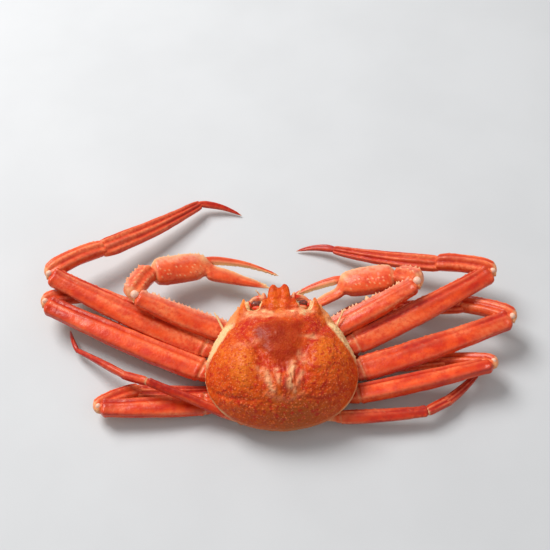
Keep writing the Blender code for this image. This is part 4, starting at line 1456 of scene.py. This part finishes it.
def build_body():
    """The body with a root for each limb, and the plates of the breast below."""
    shapes = [body_block()]
    for side, out in SIDES.items():
        level = heading(side, CLAWS[side][0][1], 0)
        shapes.append(stub_shape(out, CLAW_HIP, level, STUB_RADIUS))
        for number in LEG_GIRTHS:
            radius = THIN_STUB_RADIUS if number == THIN_LEG else STUB_RADIUS
            level = heading(side, LEGS[side, number][0][1], 0)
            inside = THIN_STUB_INSIDE if number == THIN_LEG else STUB_INSIDE
            shapes.append(stub_shape(out, LEG_HIPS[side, number], level, radius, inside))
    points, facings, faces = voxel_skin(shapes, BODY_SKIN)
    x, y, z = points.T
    below = ramp(-0.2, -0.7, facings[:, 2])
    depth = np.zeros(len(points))
    for inner, outer in BREAST_FURROWS:
        line = [(7, inner), (20, (inner + outer) / 2 - 1), (38, outer)]
        depth += FURROW_DEPTH * bell(line_gap(abs(x), y, line), FURROW_WIDTH)
    flap_half = np.interp(y, *zip(*FLAP_EDGE))
    depth += bell(abs(x) - flap_half - 1.0, FURROW_WIDTH) * ramp(19, 13, y)
    depth += 0.25 * (1 + lumps(points, 3.0, 21))
    points = points - facings * (depth * below)[:, None]
    # Orange red on the body's sides and brown at its rear: partly an orange blush, partly painted shade
    # under the shell's rim
    blush = 0.6 * ramp(26, 36, abs(x)) + 0.3 * lumps(points, 8.0, 22)
    blush = np.maximum(blush, 0.75 * (1 - below) * ramp(3.0, 6.0, z))
    marks = {"deep": blush, "rear": 0.8 * (1 - below) * ramp(-30, -36, y)}
    add_piece("breast_plates", (points, faces, marks), "pale_shell", ["thorax"])


def build_flap():
    """The jointed abdomen flap, folded from the rear down and forward under the belly."""
    path = [Vector(point) for point, _ in FLAP]
    stations = []
    for index, (_, half_width) in enumerate(FLAP):
        before, after = path[max(0, index - 1)], path[min(len(path) - 1, index + 1)]
        across = Vector((1, 0, 0))
        up = (after - before).normalized().cross(across)
        stations.append((path[index], across, up, half_width, FLAP_THICK / 2))
    skin = Skin(stations, *FLAP_GRID, 2.2, (FLAP_THICK / 2, FLAP_THICK / 2))
    for share in FLAP_SEAMS:
        skin.collar(share, 0.8, -0.5)
        skin.collar(share + 0.018, 1.0, 0.25)
    skin.roughen(4.0, 0.15, 31)
    skin.roughen(1.6, 0.08, 32)
    # The flap's rear end, under the shell's rim, is painted brown as shade
    skin.rear += 0.9 * ramp(0.3, 0.12, skin.share)[:, None]
    add_piece("tail_flap", skin.mesh(), "pale_shell", ["abdomen"])


def build_mouth():
    """The two plates over the mouth, with the feelers and the side rods."""
    for side, out in SIDES.items():
        top, foot = mirrored(MOUTH_COVER_TOP, out), mirrored(MOUTH_COVER_FOOT, out)
        across = Vector((1, 0, 0))
        up = (foot - top).normalized().cross(across)
        half = MOUTH_COVER_THICK / 2
        stations = [(top.lerp(foot, share), across, up, wide, half) for share, wide in MOUTH_COVER]
        skin = Skin(stations, *MOUTH_GRID, 2.6, (1.4, 1.4))
        skin.collar(0.42, 0.7, -0.4)
        skin.roughen(2.5, 0.2, 61)
        skin.deep += 0.25
        add_piece(f"mouth_plate_{side}", skin.mesh(), "pale_shell", [f"mouth_cover_{side}"])
        rods = []
        for line, radii in FEELERS:
            stations = line_stations([mirrored(point, out) for point in line], radii)
            rod = Skin(stations, *ROD_GRID, ROUND, (radii[0], radii[-1] * 2))
            for share in FEELER_RINGS:
                rod.collar(share, 0.5, -0.12)
            rods.append(rod.mesh())
        add_piece(f"feelers_{side}", joined(rods), "pale_shell")


def socket_blush(points):
    """How orange the pale socket of an eye is: most on top and in spots."""
    return 0.42 + 0.6 * lumps(points, 2.6, 70) + 0.35 * ramp(36.5, 39.0, points[:, 2])


def build_eyes():
    """A dark eye on its short pale stalk in each hollow beside the beak."""
    centre, radii = EYE
    across, up = Vector((0, 1, 0)), Vector((0, 0, 1))
    for side, out in SIDES.items():
        middle = mirrored(centre, out)
        stations = []
        for share, girth in EYE_GIRTH:
            at = middle + Vector((share * radii[0], 0, 0))
            stations.append((at, across, up, radii[1] * girth, radii[2] * girth))
        eye = Skin(stations, *EYE_GRID, ROUND, (2.6, 2.6))
        add_piece(f"eye_ball_{side}", eye.mesh(), "dark_eye", [f"eye_{side}"])
        shapes = [spike_shape([mirrored(STALK_ROOT, out), middle], STALK_RADII, 0.9)]
        for line, girths, flatness in SOCKETS:
            shapes.append(spike_shape([mirrored(point, out) for point in line], girths, flatness))
        shapes = [(*shape, {"deep": socket_blush(shape[0])}) for shape in shapes]
        add_piece(f"eye_socket_{side}", joined(shapes), "pale_shell")


def build_stage(settings):
    """The pale table, the soft lights and the camera."""
    size = settings.table_size
    corners = [(-size, -size, 0), (size, -size, 0), (size, size, 0), (-size, size, 0)]
    table = scratch_object("table", corners, [[0, 1, 2, 3]])
    table.data.materials.append(finish_named("pale_table"))
    for name, (place, width), power in (
        ("key_light", KEY_LIGHT, settings.key_power),
        ("fill_light", FILL_LIGHT, settings.fill_power),
    ):
        light = bpy.data.lights.new(name, "AREA")
        light.color = LIGHT_COLOUR
        light.shape = "SQUARE"
        light.size = width
        light.energy = power
        lamp = bpy.data.objects.new(name, light)
        lamp.location = place
        aim = Vector(LIGHTS_AIM) - Vector(place)
        lamp.rotation_euler = aim.to_track_quat("-Z", "Y").to_euler()
        bpy.context.scene.collection.objects.link(lamp)
    world = bpy.data.worlds.new("soft_room")
    world.use_nodes = True
    backdrop = world.node_tree.nodes["Background"]
    backdrop.inputs["Color"].default_value = (*LIGHT_COLOUR, 1.0)
    backdrop.inputs["Strength"].default_value = settings.room_light
    scene = bpy.context.scene
    scene.world = world
    scene.view_settings.view_transform = "Standard"
    turn, dip = math.radians(CAMERA_TURN), math.radians(CAMERA_DIP)
    forward = Vector((-math.sin(turn) * math.cos(dip), math.cos(turn) * math.cos(dip), -math.sin(dip)))
    right = Vector((math.cos(turn), math.sin(turn), 0))
    up = right.cross(forward)
    camera = bpy.data.objects.new("camera", bpy.data.cameras.new("camera"))
    camera.data.sensor_width = SENSOR
    camera.data.lens = LENS
    rows = [(right[k], up[k], -forward[k], CAMERA_AT[k]) for k in range(3)]
    camera.matrix_world = Matrix(rows + [(0, 0, 0, 1)])
    scene.collection.objects.link(camera)
    scene.camera = camera


def colour(name, description, default):
    """A colour that a user can change."""
    return FloatVectorProperty(
        name=name, description=description, subtype="COLOR", size=3, min=0, max=1, default=default
    )


def length(name, description, default):
    """A length that a user can change, given in millimetres."""
    return FloatProperty(
        name=name, description=description, subtype="DISTANCE", unit="LENGTH", min=0, default=default * MM
    )


def share(name, description, default):
    """A share that a user can change."""
    return FloatProperty(name=name, description=description, subtype="FACTOR", default=default)


def power(name, description, default):
    """A light's power that a user can change, in watts."""
    return FloatProperty(
        name=name, description=description, subtype="POWER", unit="POWER", default=default
    )


class CrabShellSettings(bpy.types.PropertyGroup):
    """Sizes of the relief on the shell's back."""

    skin: length("Skin fineness", "Size of the faces of the shell's skin", 0.6)
    grain: length("Grain height", "Height of the grains on the shell's back", 0.45)
    furrows: share("Furrow depth", "Share of the full depth of furrows and ridges", 1.0)


class CrabLimbSettings(bpy.types.PropertyGroup):
    """Sizes of the relief on the limbs."""

    ridge: length("Ridge height", "Height of the long ridges of the limbs", 0.8)
    spine: length("Spine height", "Height of the small spines of the limbs", 1.1)


class CrabColourSettings(bpy.types.PropertyGroup):
    """Colours and gloss of the boiled crab."""

    orange: colour("Orange", "Shell's back", (0.58, 0.050, 0.004))
    light_orange: colour("Light orange", "Lighter places of the back", (0.70, 0.088, 0.006))
    warm: colour("Warm", "Yellow orange places of the back", (0.82, 0.205, 0.018))
    # The deep red also paints shade into the back's grooves
    deep: colour("Deep red", "Furrows and stains of the back", (0.52, 0.020, 0.010))
    granule: colour("Granule", "Tops of the grains on the back", (0.86, 0.17, 0.045))
    plate: colour("Plate", "Smooth plate in the middle of the back", (0.27, 0.010, 0.001))
    plate_light: colour("Light plate", "Lighter places of the plate", (0.38, 0.036, 0.009))
    # The rear colour is partly painted shade on the rear slope
    rear: colour("Rear", "Browner rear of the back", (0.42, 0.090, 0.014))
    speckle: colour("Speckle", "Small dark dots", (0.38, 0.022, 0.006))
    limb: colour("Limb", "Limbs", (0.68, 0.031, 0.004))
    limb_light: colour("Light limb", "Lighter places of the limbs", (0.83, 0.074, 0.009))
    # The warm limb colour also paints the highlight along the limbs' ridges
    limb_warm: colour("Warm limb", "Edges and spines of the limbs", (0.92, 0.215, 0.075))
    # Crimson also paints the shade in the limbs' furrows
    crimson: colour("Crimson", "Far ends of the limbs", (0.42, 0.012, 0.006))
    cream: colour("Cream", "Underside, joints and tips", (0.90, 0.66, 0.34))
    blush: colour("Blush", "Orange blush on the cream", (0.84, 0.28, 0.08))
    # Salmon also paints the highlight across the forehead
    salmon: colour("Salmon", "Light ridges and patches of the back", (0.88, 0.27, 0.13))
    # The knob colour also paints the highlights on the limbs' ridges and the claws' upper faces
    knob: colour("Knob", "Pale knobs of the knees", (0.87, 0.56, 0.44))
    eye: colour("Eye", "Eyes", (0.07, 0.012, 0.005))
    eye_light: colour("Light eye", "Lighter places of the eyes", (0.30, 0.035, 0.015))
    table: colour("Table", "Table", (0.612, 0.650, 0.702))
    wetness: share("Wetness", "Strength of the wet coat", 0.26)
    coat_roughness: share("Coat roughness", "Roughness of the wet coat", 0.2)
    gloss: share("Gloss", "Shine under the coat", 0.18)


class CrabStageSettings(bpy.types.PropertyGroup):
    """Sizes and lights of the stage."""

    table_size: length("Table size", "Half the width of the table", 3000.0)
    key_power: power("Key light", "Main light", 32.0)
    fill_power: power("Fill light", "Fill light", 1.5)
    room_light: share("Room light", "Light from all round", 0.4)


class CRAB_OT_shell(bpy.types.Operator):
    """Builds the shell with its beak and spines"""

    bl_idname = "crab.shell"
    bl_label = "Shell"

    def execute(self, context):
        build_shell(context.scene.crab_shell)
        return {"FINISHED"}


class CRAB_OT_eyes(bpy.types.Operator):
    """Builds the eyes on their stalks"""

    bl_idname = "crab.eyes"
    bl_label = "Eyes"

    def execute(self, context):
        build_eyes()
        return {"FINISHED"}


class CRAB_OT_mouth(bpy.types.Operator):
    """Builds the mouth plates and feelers"""

    bl_idname = "crab.mouth"
    bl_label = "Mouth"

    def execute(self, context):
        build_mouth()
        return {"FINISHED"}


class CRAB_OT_body(bpy.types.Operator):
    """Builds the body with the plates of the breast"""

    bl_idname = "crab.body"
    bl_label = "Body"

    def execute(self, context):
        build_body()
        return {"FINISHED"}


class CRAB_OT_flap(bpy.types.Operator):
    """Builds the abdomen flap"""

    bl_idname = "crab.flap"
    bl_label = "Flap"

    def execute(self, context):
        build_flap()
        return {"FINISHED"}


class CRAB_OT_claws(bpy.types.Operator):
    """Builds the two claw arms"""

    bl_idname = "crab.claws"
    bl_label = "Claws"

    def execute(self, context):
        for side in SIDES:
            build_claw(side, context.scene.crab_limbs)
        return {"FINISHED"}


class CRAB_OT_legs(bpy.types.Operator):
    """Builds the eight walking legs"""

    bl_idname = "crab.legs"
    bl_label = "Legs"

    def execute(self, context):
        for side, number in LEGS:
            build_leg(side, number, context.scene.crab_limbs)
        return {"FINISHED"}


class CRAB_OT_stage(bpy.types.Operator):
    """Sets up the table, the lights and the camera"""

    bl_idname = "crab.stage"
    bl_label = "Stage"

    def execute(self, context):
        build_stage(context.scene.crab_stage)
        return {"FINISHED"}


OPERATORS = [
    CRAB_OT_shell,
    CRAB_OT_eyes,
    CRAB_OT_mouth,
    CRAB_OT_body,
    CRAB_OT_flap,
    CRAB_OT_claws,
    CRAB_OT_legs,
    CRAB_OT_stage,
]
SETTINGS = {
    "crab_shell": CrabShellSettings,
    "crab_limbs": CrabLimbSettings,
    "crab_colours": CrabColourSettings,
    "crab_stage": CrabStageSettings,
}


class VIEW3D_PT_crab(bpy.types.Panel):
    """Buttons and settings of the crab"""

    bl_label = "Boiled Crab"
    bl_space_type = "VIEW_3D"
    bl_region_type = "UI"
    bl_category = "Crab"

    def draw(self, context):
        for name, group in SETTINGS.items():
            box = self.layout.box()
            for field in group.__annotations__:
                box.prop(getattr(context.scene, name), field)
        for operator in OPERATORS:
            self.layout.operator(operator.bl_idname)


def register():
    """Registers the classes and adds the settings to the scene."""
    for group in (*SETTINGS.values(), *OPERATORS, VIEW3D_PT_crab):
        bpy.utils.register_class(group)
    for name, group in SETTINGS.items():
        setattr(bpy.types.Scene, name, PointerProperty(type=group))


def unregister():
    """Takes the settings and the classes away again."""
    for name in SETTINGS:
        delattr(bpy.types.Scene, name)
    for group in (VIEW3D_PT_crab, *reversed(OPERATORS), *reversed(SETTINGS.values())):
        bpy.utils.unregister_class(group)


def main():
    """Builds the whole crab on its table."""
    register()
    bpy.ops.crab.shell()
    bpy.ops.crab.eyes()
    bpy.ops.crab.mouth()
    bpy.ops.crab.body()
    bpy.ops.crab.flap()
    bpy.ops.crab.claws()
    bpy.ops.crab.legs()
    bpy.ops.crab.stage()


if __name__ == "__main__":
    main()
